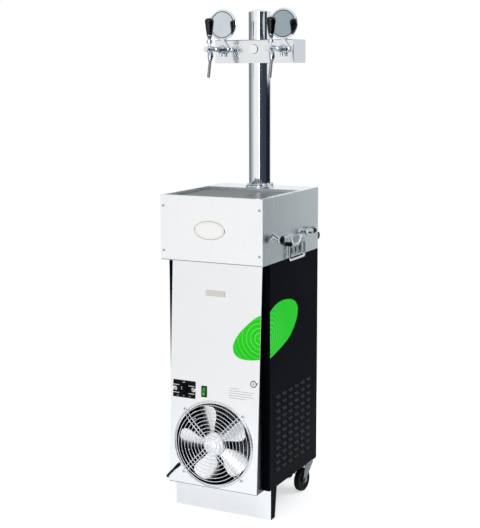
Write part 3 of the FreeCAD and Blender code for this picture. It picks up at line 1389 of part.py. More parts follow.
def medallion():
    front = BAR_FRONT - ROSETTE_THICKNESS / 2 - MEDALLION_THICKNESS / 2
    centre = point(TAP_X, front, MEDALLION_CENTRE_Z)
    r = MEDALLION_RADIUS
    t = MEDALLION_THICKNESS
    disc = turned([(0, LENS_RECESS), (LENS_RADIUS + 0.1, LENS_RECESS), (LENS_RADIUS + 0.1, 0.6),
                   (LENS_RADIUS + 2, 0), (r - 2.5, 0), (r - 0.6, 1.2), (r, 3), (r, t - 2), (r - 2, t),
                   (0, t)], centre, V(0, 1, 0))
    neck_depth = BAR_FRONT - ROSETTE_THICKNESS / 2 - MEDALLION_NECK / 2
    disc_foot = MEDALLION_CENTRE_Z - r - TAP_Z
    half_outline = [(19, -6), (23, -1), (23, 5), (18, 11), (14, 17), (11, 22), (8, 27), (6, 30),
                    (5.5, disc_foot + 3)]
    outline = half_outline + [(-x, z) for x, z in reversed(half_outline)]
    neck = prism([point(TAP_X + x, neck_depth, TAP_Z + z) for x, z in outline], V(0, MEDALLION_NECK, 0))
    neck = neck.cut(rod(point(TAP_X, neck_depth - 1, TAP_Z), point(TAP_X, BAR_FRONT, TAP_Z),
                        ROSETTE_RADIUS + SCREW_CLEARANCE))
    lens = turned([(0, 0), (LENS_RADIUS - 1, 0), (LENS_RADIUS, 0.6), (LENS_RADIUS, LENS_THICKNESS),
                   (0, LENS_THICKNESS)],
                  point(TAP_X, front + LENS_RECESS - LENS_THICKNESS, MEDALLION_CENTRE_Z), V(0, 1, 0))
    return joined([disc, neck]), lens


def lever_pin(radius, half):
    """The round pin across the barrel that a lever turns on."""
    pivot = point(TAP_X, LEVER_DEPTH, TAP_Z)
    return rod(pivot.sub(V(half, 0, 0)), pivot.add(V(half, 0, 0)), radius)


def lever():
    """Ball, pivot pin, stem, collar and cone in one, with the stub that carries the grip."""
    s = LEVER_STEM
    c = LEVER_COLLAR_START
    waist = LEVER_CONE_START
    top = LEVER_FERRULE_TOP
    k = LEVER_COLLAR_RADIUS
    f = GRIP_FOOT_RADIUS
    pivot = point(TAP_X, LEVER_DEPTH, TAP_Z)
    shape = turned([(0, 0), (s, 0), (s, c), (k - 1, c), (k, c + 0.8), (k, c + 3.6), (k - 1.6, c + 4.2),
                    (k - 1.6, c + 5.6), (k - 0.6, c + 6.2), (k - 0.6, waist - 3), (k - 2, waist - 1.5),
                    (LEVER_CONE_FOOT, waist), (LEVER_CONE_FOOT + 0.5, waist + 3), (f - 0.6, top - 3),
                    (f, top - 1.5), (f, top), (s, top), (s, top + LEVER_STUB), (0, top + LEVER_STUB)],
                   pivot, V(0, 0, 1))
    return joined([Part.makeSphere(LEVER_BALL, pivot), shape, lever_pin(LEVER_PIN_RADIUS, LEVER_PIN_HALF)])


def lever_grip():
    """A pear-shaped grip with its widest part near the top."""
    f = GRIP_FOOT_RADIUS
    h = GRIP_HEAD_RADIUS
    length = GRIP_LENGTH
    foot = point(TAP_X, LEVER_DEPTH, TAP_Z + LEVER_FERRULE_TOP)
    curve = Part.BSplineCurve()
    curve.interpolate([V(f, 0, 0), V(f + 0.9, 0, length * 0.12), V(f + 3.0, 0, length * 0.4),
                       V(h - 0.8, 0, length * 0.68), V(h, 0, length * 0.83), V(h - 3.2, 0, length * 0.95),
                       V(h * 0.42, 0, length * 0.99), V(0, 0, length)])
    edges = [curve.toShape(), Part.LineSegment(V(0, 0, length), V(0, 0, 0)).toShape(),
             Part.LineSegment(V(0, 0, 0), V(f, 0, 0)).toShape()]
    pear = Part.Face(Part.Wire(edges)).revolve(V(0, 0, 0), V(0, 0, 1), 360)
    pear.translate(foot)
    bore = rod(foot, foot.add(V(0, 0, LEVER_STUB + 0.5)), LEVER_STEM + TURN_CLEARANCE)
    return pear.cut(bore)


# Fittings on the right side of the head box

def side_pipe_runs(radius):
    """The three tubes that end in the head box's right wall."""
    inside = HALF - 6 * SHEET
    valve = point(VALVE_X, VALVE_DEPTH, VALVE_Z)
    elbow = point(UNION_X, UNION_DEPTH + 72, UNION_Z + 4)
    return [rod(point(inside, SIDE_PIPE_ENTRY[0], SIDE_PIPE_ENTRY[1]), valve, radius),
            bent_tube([valve, point(VALVE_X - 3, 192, VALVE_Z + 1), point(inside, 209, VALVE_Z + 2)],
                      radius, 2 * SIDE_PIPE_RADIUS),
            bent_tube([point(UNION_X, UNION_DEPTH, UNION_Z), elbow,
                       point(inside, UNION_DEPTH + 86, UNION_Z + 12)], radius, 2 * SIDE_PIPE_RADIUS)]


def side_pipes():
    first, second, third = side_pipe_runs(SIDE_PIPE_RADIUS)
    valve = point(VALVE_X, VALVE_DEPTH, VALVE_Z)
    bonnet = rod(valve, V(HANDWHEEL_X - HANDWHEEL_THICKNESS - 2, valve.y, valve.z), VALVE_RADIUS * 0.7)
    spindle = rod(valve, V(HANDWHEEL_X - 1.5, valve.y, valve.z), SPINDLE_RADIUS)
    block = joined([first, second, Part.makeSphere(VALVE_RADIUS, valve), bonnet, spindle])
    pieces = [block, third]
    for side in (-1, 1):
        x = side * LINE_INLET_X
        inner = point(x, HEAD_DEPTH - 4 * SHEET, LINE_INLET_Z)
        outer = point(x, HEAD_DEPTH + INLET_STUB_LENGTH + 4, LINE_INLET_Z)
        nut = rod(point(x, HEAD_DEPTH, LINE_INLET_Z), point(x, HEAD_DEPTH + 4, LINE_INLET_Z), 9.5)
        stub = joined([rod(inner, outer, INLET_STUB_RADIUS), nut])
        pieces.append(stub.cut(rod(outer, point(x, HEAD_DEPTH, LINE_INLET_Z), INLET_STUB_RADIUS - 1.2)))
    return Part.makeCompound(pieces)


def side_valve_knob():
    x = HANDWHEEL_X - HANDWHEEL_THICKNESS
    r = HANDWHEEL_RADIUS
    t = HANDWHEEL_THICKNESS
    wheel = turned([(0, 0), (r - 3, 0), (r - 1, 1), (r, t / 2), (r - 1, t - 1), (r - 3, t),
                    (r - 5, t - 1.2), (6, t - 1.2), (5, t), (0, t)],
                   point(x, VALVE_DEPTH, VALVE_Z), V(1, 0, 0))
    grooves = []
    for i in range(12):
        a = math.radians(30 * i)
        place = point(x - 1, VALVE_DEPTH + (r + 1.2) * math.cos(a), VALVE_Z + (r + 1.2) * math.sin(a))
        grooves.append(rod(place, place.add(V(t + 2, 0, 0)), 2.2))
    bore = rod(point(x - 1, VALVE_DEPTH, VALVE_Z), point(HANDWHEEL_X - 1.4, VALVE_DEPTH, VALVE_Z),
               SPINDLE_RADIUS + TURN_CLEARANCE)
    return wheel.cut(Part.makeCompound(grooves)).cut(bore)


def union_pieces():
    """The round cap and the black ring on the rear pipe."""
    centre = point(UNION_X, UNION_DEPTH, UNION_Z)
    hole = side_pipe_runs(SIDE_PIPE_RADIUS + SCREW_CLEARANCE / 2)[2]
    ball = Part.makeSphere(UNION_CAP_RADIUS, centre)
    neck = rod(centre, centre.add(V(0, UNION_CAP_RADIUS + 14, 0)), SIDE_PIPE_RADIUS + 3)
    cap = joined([ball, neck]).cut(hole)
    ring_start = centre.add(V(0, UNION_CAP_RADIUS + 26, 0))
    ring = rod(ring_start, ring_start.add(V(0, 12, 0)), UNION_RING_RADIUS).cut(hole)
    return cap, ring


# Carry handles. Each shape is drawn for the right side.

def carry_plate():
    x0 = HALF
    x1 = HALF + PLATE_THICKNESS
    d = PLATE_DEPTH
    outline = [(d - PLATE_HALF, PLATE_BOTTOM), (d + PLATE_HALF, PLATE_BOTTOM), (d + PLATE_HALF, PLATE_TOP),
               (d + PLATE_TAB_HALF, PLATE_TOP), (d + PLATE_TAB_HALF - 5, PLATE_TAB_TOP),
               (d - PLATE_TAB_HALF + 5, PLATE_TAB_TOP), (d - PLATE_TAB_HALF, PLATE_TOP),
               (d - PLATE_HALF, PLATE_TOP)]
    plate = prism([point(x0, depth, z) for depth, z in outline], V(PLATE_THICKNESS, 0, 0))
    rib = [(d - 42, 905), (d - 30, 886), (d - 18, 878), (d + 18, 878), (d + 30, 886), (d + 42, 905)]
    inner = [(d + 32, 905), (d + 23, 892.5), (d + 12, 887), (d - 12, 887), (d - 23, 892.5), (d - 32, 905)]
    strip = prism([point(x0, depth, z) for depth, z in rib + inner], V(PLATE_THICKNESS + PLATE_RIB, 0, 0))
    ears = []
    pivot_x = HALF + BAIL_PIVOT_OUT
    for side in (-1, 1):
        edge = d + side * PLATE_HALF
        near = min(edge, edge - side * BAIL_EAR)
        ear = box(x0, pivot_x, near, near + BAIL_EAR, BAIL_PIVOT_Z - BAIL_RADIUS - 2.5,
                  BAIL_PIVOT_Z + BAIL_RADIUS + 2.5)
        ears.append(ear)
        ears.append(rod(point(pivot_x, near, BAIL_PIVOT_Z), point(pivot_x, near + BAIL_EAR, BAIL_PIVOT_Z),
                        BAIL_RADIUS + 2.5))
    plate = joined([plate, strip] + ears)
    slots = [box(x0 - 1, x1 + 1, d + offset - 5, d + offset + 5, PLATE_BOTTOM + 8, PLATE_BOTTOM + 24)
             for offset in (-30, 0, 30)]
    pins = [rod(point(pivot_x, d + side * (PLATE_HALF - BAIL_EAR - 4), BAIL_PIVOT_Z),
                point(pivot_x, d + side * (PLATE_HALF + 4), BAIL_PIVOT_Z),
                BAIL_RADIUS + TURN_CLEARANCE) for side in (-1, 1)]
    return plate.cut(Part.makeCompound(slots)).cut(Part.makeCompound(pins))


def carry_bail():
    x = HALF + BAIL_PIVOT_OUT
    d = PLATE_DEPTH
    low = BAIL_PIVOT_Z - BAIL_DROP
    pin = PLATE_HALF - BAIL_EAR - 2
    corners = [(-pin, BAIL_PIVOT_Z), (-BAIL_HALF, BAIL_PIVOT_Z), (-BAIL_HALF, low),
               (BAIL_HALF, low), (BAIL_HALF, BAIL_PIVOT_Z), (pin, BAIL_PIVOT_Z)]
    points = [point(x, d + across, z) for across, z in corners]
    edges, radii = rounded_edges(points, BAIL_BEND)
    return swept(edges, BAIL_RADIUS)


# Push bar

def push_bar():
    start = point(-PUSH_HALF, PUSH_DEPTH, PUSH_Z)
    end = point(PUSH_HALF, PUSH_DEPTH, PUSH_Z)
    pieces = [rod(start, end, PUSH_RADIUS)]
    for side in (-1, 1):
        x = side * PUSH_STAND_X
        pieces.append(rod(point(x, HEAD_DEPTH, PUSH_Z), point(x, PUSH_DEPTH, PUSH_Z), PUSH_STAND_RADIUS))
        pieces.append(rod(point(x, HEAD_DEPTH, PUSH_Z), point(x, HEAD_DEPTH + 3, PUSH_Z),
                          2 * PUSH_STAND_RADIUS))
    return joined(pieces).cut(rod(start, end, PUSH_RADIUS - PUSH_WALL))


def rubber_trims():
    """The push bar's end plugs and the ring on the rear side pipe."""
    pieces = []
    for side in (-1, 1):
        end = side * PUSH_HALF
        cap = rod(point(end, PUSH_DEPTH, PUSH_Z),
                  point(end + side * PUSH_PLUG_LENGTH, PUSH_DEPTH, PUSH_Z), PUSH_PLUG_RADIUS)
        plug = rod(point(end - side * 10, PUSH_DEPTH, PUSH_Z), point(end, PUSH_DEPTH, PUSH_Z),
                   PUSH_RADIUS - PUSH_WALL - SCREW_CLEARANCE)
        pieces.append(cap.fuse(plug))
    pieces.append(union_pieces()[1])
    return Part.makeCompound(pieces)


# Casters, each drawn about its own swivel axis on the floor

def caster_plate():
    top = GROUND_GAP
    bottom = top - CASTER_PLATE_THICKNESS
    race = bottom - CASTER_RACE_HEIGHT
    x = CASTER_PLATE_X / 2
    y = CASTER_PLATE_Y / 2
    plate = slab(-x, x, -y, y, bottom, top)
    housing = rod(V(0, 0, race), V(0, 0, bottom), CASTER_RACE_RADIUS)
    head_bottom = race - CASTER_GAP - CASTER_HEAD_HEIGHT
    pin = rod(V(0, 0, head_bottom - 3), V(0, 0, top), KINGPIN_RADIUS)
    washer = rod(V(0, 0, head_bottom - 3), V(0, 0, head_bottom - CASTER_GAP), 1.7 * KINGPIN_RADIUS)
    shape = joined([plate, housing, pin, washer])
    for dx in (-CASTER_BOLT_X, CASTER_BOLT_X):
        for dy in (-CASTER_BOLT_Y, CASTER_BOLT_Y):
            shape = shape.cut(rod(V(dx, dy, bottom), V(dx, dy, top), SCREW_SHANK + SCREW_CLEARANCE))
    return shape


def caster_fork():
    """Swivel head with two legs that lean forward to the axle."""
    top = GROUND_GAP - CASTER_PLATE_THICKNESS - CASTER_RACE_HEIGHT - CASTER_GAP
    bottom = top - CASTER_HEAD_HEIGHT
    head = rod(V(0, 0, bottom), V(0, 0, top), CASTER_RACE_RADIUS)
    inner = WHEEL_WIDTH / 2 + 2 * WHEEL_HUB_GAP
    outer = inner + FORK_WALL
    axle_y = -CASTER_TRAIL
    pieces = [head]
    for side in (-1, 1):
        near = min(side * inner, side * outer)
        corners = [V(near, FORK_CHEEK, top), V(near, -16, top), V(near, axle_y - 12, WHEEL_RADIUS + 6),
                   V(near, axle_y - 9, WHEEL_RADIUS - 9), V(near, axle_y + 9, WHEEL_RADIUS - 9),
                   V(near, axle_y + 12, WHEEL_RADIUS + 6), V(near, FORK_CHEEK, top - FORK_CHEEK_EDGE)]
        pieces.append(prism(corners, V(FORK_WALL, 0, 0)))
    pieces.append(rod(V(-outer - 4, axle_y, WHEEL_RADIUS), V(outer + 4, axle_y, WHEEL_RADIUS), AXLE_RADIUS))
    for side in (-1, 1):
        pieces.append(rod(V(side * outer, axle_y, WHEEL_RADIUS), V(side * (outer + 4), axle_y, WHEEL_RADIUS),
                          1.7 * AXLE_RADIUS))
    return joined(pieces).cut(rod(V(0, 0, bottom - 1), V(0, 0, top + 1), KINGPIN_RADIUS + TURN_CLEARANCE))


def caster_wheel():
    w = WHEEL_WIDTH / 2
    hub = w + WHEEL_HUB_GAP
    r = WHEEL_RADIUS
    bore = AXLE_RADIUS + TURN_CLEARANCE
    return turned([(bore, -hub), (11, -hub), (11, -w + 3), (r - 10, -w + 3), (r - 8, -w), (r - 3, -w),
                   (r - 0.8, -w + 2.5), (r, -w + 6), (r, w - 6), (r - 0.8, w - 2.5), (r - 3, w),
                   (r - 8, w), (r - 10, w - 3), (11, w - 3), (11, hub), (bore, hub)],
                  V(0, -CASTER_TRAIL, r), V(1, 0, 0))


def placed_caster(shape, side, turn):
    copy = spun(shape, V(0, 0, 0), V(0, 0, 1), turn)
    return moved(copy, point(side * CASTER_X, CASTER_DEPTH, 0))


# Mains lead

GLAND_WAY = V(-0.703, 0, -0.711)


def on_cover_way(way):
    """A direction across the cover's face, given by its X and Z parts."""
    lean = math.tan(math.radians(COVER_SLOPE))
    along = V(way.x, way.z * lean, way.z)
    along.normalize()
    return along


def gland_end():
    centre = cover_point(GLAND_X, GLAND_Z, GLAND_HEIGHT)
    return centre.add(on_cover_way(GLAND_WAY).multiply(GLAND_LENGTH))


def cord_gland():
    """A low strain relief that turns the lead along the cover's face."""
    centre = cover_point(GLAND_X, GLAND_Z, GLAND_HEIGHT)
    foot = on_cover(rod(V(0, 0, 0), V(0, 0, GLAND_HEIGHT), GLAND_RADIUS), GLAND_X, GLAND_Z)
    tail = Part.makeCone(GLAND_RADIUS, GLAND_MOUTH_RADIUS, GLAND_LENGTH, centre, on_cover_way(GLAND_WAY))
    ball = Part.makeSphere(GLAND_RADIUS, centre)
    gland = joined([foot, tail, ball])
    below = on_cover(slab(-30, 30, -30, 30, -10, 0), GLAND_X, GLAND_Z)
    return gland.cut(below)


# The lead's free route as (x, depth, height above where the lead rests on the floor)
CORD_ROUTE = [(-167.5, -8.5, 117.0), (-171.0, 18.0, 108.0), (-187.5, 54.0, 100.0),
              (-190.5, 98.0, 78.0), (-191.0, 141.0, 43.0), (-194.0, 186.0, 15.0), (-203.0, 232.0, 2.0),
              (-216.0, 284.0, 0.0), (-225.0, 340.0, 0.0), (-226.0, 396.0, 0.0), (-212.0, 446.0, 0.0),
              (-178.0, 480.0, 0.0)]

# The two bends of the lead's tail on the floor, the second at the plug's foot
TAIL_BEND = (0.0, 486.0)
PLUG_FOOT = (26.0, 477.0)


def coil_outer():
    return COIL_MIDDLE_RADIUS + COIL_PITCH * COIL_TURNS_IN / 2


def coil_shape():
    """Place and heading of a spiral that winds in, climbs a layer and winds out."""
    inward = COIL_TURNS_IN
    start_angle = math.radians(COIL_START_ANGLE)
    inner = coil_outer() - COIL_PITCH * inward
    floor = CORD_RADIUS + FLOOR_GAP

    def polar(turns):
        angle = start_angle + 2 * math.pi * turns
        if turns <= inward:
            return angle, coil_outer() - COIL_PITCH * turns, floor, -COIL_PITCH, 0
        if turns <= inward + 0.5:
            share = (turns - inward) / 0.5
            climb = COIL_LAYER_RISE * (1 - math.cos(math.pi * share)) / 2
            rate = COIL_LAYER_RISE * math.pi * math.sin(math.pi * share)
            return angle, inner, floor + climb, 0, rate
        out = turns - inward - 0.5
        return angle, inner + COIL_PITCH * out, floor + COIL_LAYER_RISE, COIL_PITCH, 0

    def place(turns):
        angle, radius, z, widen, rise = polar(turns)
        return point(COIL_X + radius * math.cos(angle), COIL_DEPTH + radius * math.sin(angle), z)

    def heading(turns):
        angle, radius, z, widen, rise = polar(turns)
        flat = 2 * math.pi * radius
        way = V(-flat * math.sin(angle) + widen * math.cos(angle),
                flat * math.cos(angle) + widen * math.sin(angle), rise)
        way.normalize()
        return way

    return place, heading, 2 * inward + 0.5


def cord_coil():
    place, heading, turns = coil_shape()
    straight = 2 * CORD_RADIUS
    first = place(0)
    last = place(turns)
    before = first.sub(heading(0).multiply(straight))
    after = last.add(heading(turns).multiply(straight))
    middle = winding(place, heading, turns)
    edges = [Part.LineSegment(before, first).toShape()] + middle
    edges.append(Part.LineSegment(last, after).toShape())
    return edges, before, heading(0), after, heading(turns)


def least_gap(edges):
    """Least clear space between stretches of a coil more than half a turn apart."""
    points = []
    walked = 0
    for edge in edges:
        count = max(2, round(edge.Length / 4))
        span = edge.LastParameter - edge.FirstParameter
        for i in range(count):
            points.append((walked + edge.Length * i / count,
                           edge.valueAt(edge.FirstParameter + span * i / count)))
        walked += edge.Length
    apart = math.pi * COIL_MIDDLE_RADIUS / 2
    least = 1e9
    for i, (si, a) in enumerate(points):
        for sj, b in points[i + 1:]:
            if sj - si > apart:
                least = min(least, a.distanceToPoint(b))
    return least - 2 * CORD_RADIUS


def lead_points(coil_start, heading):
    """From the gland's mouth along its axis, through the route, to the coil."""
    start = gland_end()
    rest = CORD_RADIUS + FLOOR_GAP
    points = [start, start.add(on_cover_way(GLAND_WAY).multiply(GLAND_APPROACH))]
    points += [point(x, depth, rest + z) for x, depth, z in CORD_ROUTE]
    return points + [coil_start.sub(V(heading).multiply(COIL_APPROACH)), coil_start]


def tail_points(coil_end, heading):
    """From the coil's top, down to the height of a plug that lies on the floor."""
    height = PLUG_RADIUS + FLOOR_GAP
    return [coil_end, coil_end.add(V(heading).multiply(TAIL_APPROACH)),
            point(TAIL_BEND[0], TAIL_BEND[1], height), point(PLUG_FOOT[0], PLUG_FOOT[1], height)]


def lead_run(name, points):
    """A free stretch of the lead, with its points, arcs and volume printed."""
    edges, radii = rounded_edges(points)
    length = sum(edge.Length for edge in edges)
    tube = swept(edges, CORD_RADIUS)
    print(name, "points", [[round(c, 3) for c in p] for p in points])
    print(name, "arc radii", [round(r, 1) for r in radii])
    share = tube.Volume / (math.pi * CORD_RADIUS ** 2 * length)
    print(name, "volume over section times length", round(share, 4))
    return tube, length


def cord_plug(before, foot):
    way = foot.sub(before)
    way.normalize()
    r = PLUG_RADIUS
    body = turned([(0, 0), (CORD_RADIUS + 2, 0), (CORD_RADIUS + 3, 10), (r - 5, 18), (r - 1, 22), (r, 24),
                   (r, PLUG_LENGTH + PLUG_COLLAR), (0, PLUG_LENGTH + PLUG_COLLAR)], foot, way)
    pieces = [body]
    across = way.cross(V(0, 0, 1))
    across.normalize()
    face = foot.add(V(way).multiply(PLUG_LENGTH + PLUG_COLLAR))
    for side in (-1, 1):
        pin = face.add(V(across).multiply(side * PLUG_PIN_SPACING / 2))
        pieces.append(rod(pin.sub(V(way).multiply(2)), pin.add(V(way).multiply(PLUG_PIN_LENGTH)),
                          PLUG_PIN_RADIUS))
    return joined(pieces)


# Build every piece

def build():
    os.makedirs("parts", exist_ok=True)
    save("chassis_frame", chassis_frame())
    side = right_side_panel()
    save("right_side_panel", side)
    save("left_side_panel", mirrored(side))
    save("rear_panel", rear_panel())
    save("front_cover", front_cover())
    save("foot_plate", foot_plate())
    save("foot_bracket", foot_bracket())
    save("head_box", head_box())
    save("drip_tray", drip_tray())
    save("drip_grid", drip_grid())
    save("bath_tank", bath_tank())
    save("bath_insulation", bath_insulation())
    save("agitator_motor", agitator_motor())
    save("agitator_impeller", agitator_impeller())
    save("product_lines", product_lines())
    save("refrigerant_lines", refrigerant_lines())
    save("compressor", compressor())
    save("condenser", condenser())
    save("fan_shroud", fan_shroud())
    save("fan_motor", fan_motor())
    save("fan_blades", fan_blades())
    save("fan_guard", fan_guard())
    save("thermostat_plate", thermostat_plate())
    save("thermostat_knob", thermostat_knob())
    save("switch_housing", switch_housing())
    save("switch_rocker", switch_rocker())
    save("cover_lock", cover_lock())
    save("name_plates", name_plates())
    save("screws", screws())
    save("column_flange", column_flange())
    save("column_tube", column_tube())
    save("tower_caps", tower_caps())
    save("tap_bar", tap_bar())
    shank = Part.makeCompound(tap_shank())
    save("tap_shanks", on_both_sides(shank))
    save("tap_bodies", on_both_sides(tap_body()))
    save("tap_spouts", on_both_sides(tap_spout()))
    disc, lens = medallion()
    save("medallions", on_both_sides(disc))
    save("medallion_lenses", on_both_sides(lens))
    stem = lever()
    grip = lever_grip()
    save("lever_right", stem)
    save("lever_left", mirrored(stem))
    save("lever_grip_right", grip)
    save("lever_grip_left", mirrored(grip))
    save("side_pipes", side_pipes())
    save("side_valve_knob", side_valve_knob())
    save("union_cap", union_pieces()[0])
    save("carry_plates", on_both_sides(carry_plate()))
    bail = carry_bail()
    save("carry_bail_right", bail)
    save("carry_bail_left", mirrored(bail))
    save("push_bar", push_bar())
    save("rubber_trims", rubber_trims())
    plates = [placed_caster(caster_plate(), side, 0) for side in (-1, 1)]
    save("caster_plates", Part.makeCompound(plates))
    for name, side in (("left", -1), ("right", 1)):
        save("caster_fork_" + name, placed_caster(caster_fork(), side, CASTER_TURN))
        save("caster_wheel_" + name, placed_caster(caster_wheel(), side, CASTER_TURN))
    coil_edges, coil_start, way_in, coil_end, way_out = cord_coil()
    tube, free_length = lead_run("lead", lead_points(coil_start, way_in))
    tail_places = tail_points(coil_end, way_out)
    tail, tail_length = lead_run("tail", tail_places)
    coil_length = sum(edge.Length for edge in coil_edges)
    print("coil least gap", round(least_gap(coil_edges), 2))
    print("lead length", round(free_length), round(coil_length), round(tail_length),
          round(free_length + coil_length + tail_length))
    save("cord_gland", cord_gland())
    save("cord_tube", tube)
    save("cord_coil", swept(coil_edges, CORD_RADIUS))
    save("cord_tail", tail)
    save("cord_plug", cord_plug(tail_places[-2], tail_places[-1]))


build()
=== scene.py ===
import math

import bpy
import bmesh
from mathutils import Matrix, Vector


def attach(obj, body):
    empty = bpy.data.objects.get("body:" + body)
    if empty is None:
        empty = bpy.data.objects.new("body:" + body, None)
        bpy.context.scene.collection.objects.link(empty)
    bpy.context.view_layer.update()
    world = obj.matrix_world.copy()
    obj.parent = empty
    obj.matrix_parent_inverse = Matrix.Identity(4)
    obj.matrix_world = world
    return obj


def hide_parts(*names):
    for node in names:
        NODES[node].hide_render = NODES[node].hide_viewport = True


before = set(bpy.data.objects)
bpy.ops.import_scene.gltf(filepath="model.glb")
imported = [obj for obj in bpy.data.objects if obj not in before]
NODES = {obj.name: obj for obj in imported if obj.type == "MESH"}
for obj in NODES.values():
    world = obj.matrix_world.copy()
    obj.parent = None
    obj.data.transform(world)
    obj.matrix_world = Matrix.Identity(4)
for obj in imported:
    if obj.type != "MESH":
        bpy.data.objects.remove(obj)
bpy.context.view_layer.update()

# Sizes in metres that the dressing shares with the solids
HEAD_FRONT = -0.087
HEAD_JOINT_Z = 0.8436
BADGE_Z = 0.9445
LABEL_Z = 0.739
COVER_FOOT_Z = 0.106
COVER_HEIGHT = 0.736
COVER_LEAN_FOOT = -0.003
COVER_LEAN_TOP = 0.0405
COVER_EDGE = 0.160
SIDE_FACE = 0.180
CONTROLS_Z = 0.419
KNOB_X = -0.1088
SWITCH_X = -0.036
LOCK_X = 0.1405
LOCK_Z = 0.464
HANDLE_Y = 0.156
BAR_FACE = 0.219
BAR_TOP = 1.5345
TAP_X = 0.110
TAP_Z = 1.5035
TAP_NUT_Y = 0.2054
LENS_FACE = 0.2094
LENS_Z = 1.584
CORD_RADIUS = 0.0035
COIL_X = -0.060
COIL_Y = 0.458
COIL_FOOT = 0.004

# Thickness of the films that stand for print, painted shadow lines and painted shade, stickers and bare
# fields
ROCKER_FILM = 0.00008
FINE_FILM = 0.0001
PRINT_FILM = 0.00012
STICKER_FILM = 0.00015
FIELD_FILM = 0.0002


def add_object(name, data):
    """A new object in the scene, at the origin."""
    made = bpy.data.objects.new(name, data)
    bpy.context.scene.collection.objects.link(made)
    return made


# Camera

def make_camera():
    """The photograph's view: turned 26.8 degrees to the left, looking down 9.5 degrees."""
    turn, down, roll = (math.radians(angle) for angle in (26.789, 9.479, -0.2175))
    ahead = Vector((-math.sin(turn) * math.cos(down), math.cos(turn) * math.cos(down), -math.sin(down)))
    level = Vector((math.cos(turn), math.sin(turn), 0.0))
    steep = level.cross(ahead)
    right = level * math.cos(roll) + steep * math.sin(roll)
    up = steep * math.cos(roll) - level * math.sin(roll)
    data = bpy.data.cameras.new("camera")
    data.lens = 79.18
    data.sensor_width = 36.0
    data.clip_start = 0.1
    data.clip_end = 60.0
    camera = add_object("camera", data)
    place = Matrix.Translation((1.6960, -3.2429, 1.4368))
    camera.matrix_world = place @ Matrix((right, up, -ahead)).transposed().to_4x4()
    bpy.context.scene.camera = camera


make_camera()


# Shader helpers

BUMP_DEPTH = 0.0002


class Shader:
    """A material with one Principled BSDF and short calls to add nodes to it."""

    def __init__(self, name, base, roughness, metallic=0.0, **constants):
        self.material = bpy.data.materials.new(name)
        self.material.use_nodes = True
        self.tree = self.material.node_tree
        self.bsdf = self.tree.nodes["Principled BSDF"]
        self.set(self.bsdf, "Base Color", (*base, 1.0))
        self.set(self.bsdf, "Roughness", roughness)
        self.set(self.bsdf, "Metallic", metallic)
        for socket, value in constants.items():
            self.set(self.bsdf, socket.replace("_", " "), value)

    def set(self, node, socket, value):
        node.inputs[socket].default_value = value

    def effect(self, group, **values):
        node = self.tree.nodes.new("ShaderNodeGroup")
        node.node_tree = group
        for socket, value in values.items():
            self.set(node, socket.replace("_", " "), value)
        return node

    def link(self, source, socket):
        self.tree.links.new(source, self.bsdf.inputs[socket])

    def mix(self, factor, low, high):
        return colour_mix(self.tree, factor, low, high)

    def span(self, source, low, high):
        """A value output mapped from 0..1 to low..high."""
        return ranged(self.tree, source, 0.0, 1.0, low, high)

    def axis(self, output, axis):
        """One axis of the Object coordinates or of the Normal, as a value output."""
        coord = add_node(self.tree, "ShaderNodeTexCoord")
        parts = add_node(self.tree, "ShaderNodeSeparateXYZ")
        self.tree.links.new(coord.outputs[output], parts.inputs[0])
        return parts.outputs[axis]

    def bump(self, height, strength):
        node = self.tree.nodes.new("ShaderNodeBump")
        self.set(node, "Strength", strength)
        self.set(node, "Distance", BUMP_DEPTH)
        self.tree.links.new(height, node.inputs["Height"])
        self.link(node.outputs["Normal"], "Normal")


def new_group(name, inputs, outputs):
    """A shader node group with float inputs (name, default) and named float outputs."""
    group = bpy.data.node_groups.new(name, "ShaderNodeTree")
    for label, default in inputs:
        socket = group.interface.new_socket(label, in_out="INPUT", socket_type="NodeSocketFloat")
        socket.default_value = default
    for label in outputs:
        group.interface.new_socket(label, in_out="OUTPUT", socket_type="NodeSocketFloat")
    return group, group.nodes.new("NodeGroupInput"), group.nodes.new("NodeGroupOutput")


def add_node(tree, kind, **settings):
    node = tree.nodes.new(kind)
    for key, value in settings.items():
        setattr(node, key, value)
    return node


def feed(tree, socket, value):
    """Links an output to a socket, or sets a number or a colour on it."""
    if isinstance(value, bpy.types.NodeSocket):
        tree.links.new(value, socket)
    elif isinstance(value, tuple):
        socket.default_value = (*value, 1.0)
    else:
        socket.default_value = value


def math_node(tree, operation, first, second=None):
    node = add_node(tree, "ShaderNodeMath", operation=operation)
    feed(tree, node.inputs[0], first)
    if second is not None:
        feed(tree, node.inputs[1], second)
    return node.outputs[0]


def colour_mix(tree, factor, low, high):
    """Blend of two colours, each a colour or an output, by a factor output."""
    node = add_node(tree, "ShaderNodeMix", data_type="RGBA")
    for index, value in ((0, factor), (6, low), (7, high)):
        feed(tree, node.inputs[index], value)
    return node.outputs[2]


def ranged(tree, source, start, end, low=0.0, high=1.0, **settings):
    """A value output that goes from low to high as a source goes from start to end."""
    node = add_node(tree, "ShaderNodeMapRange", **settings)
    tree.links.new(source, node.inputs["Value"])
    for socket, value in (("From Min", start), ("From Max", end), ("To Min", low), ("To Max", high)):
        node.inputs[socket].default_value = value
    return node.outputs["Result"]


def noise_value(tree, vector, scale, detail, roughness=0.5):
    node = add_node(tree, "ShaderNodeTexNoise")
    node.inputs["Detail"].default_value = detail
    node.inputs["Roughness"].default_value = roughness
    tree.links.new(vector, node.inputs["Vector"])
    feed(tree, node.inputs["Scale"], scale)
    return node.outputs["Fac"]


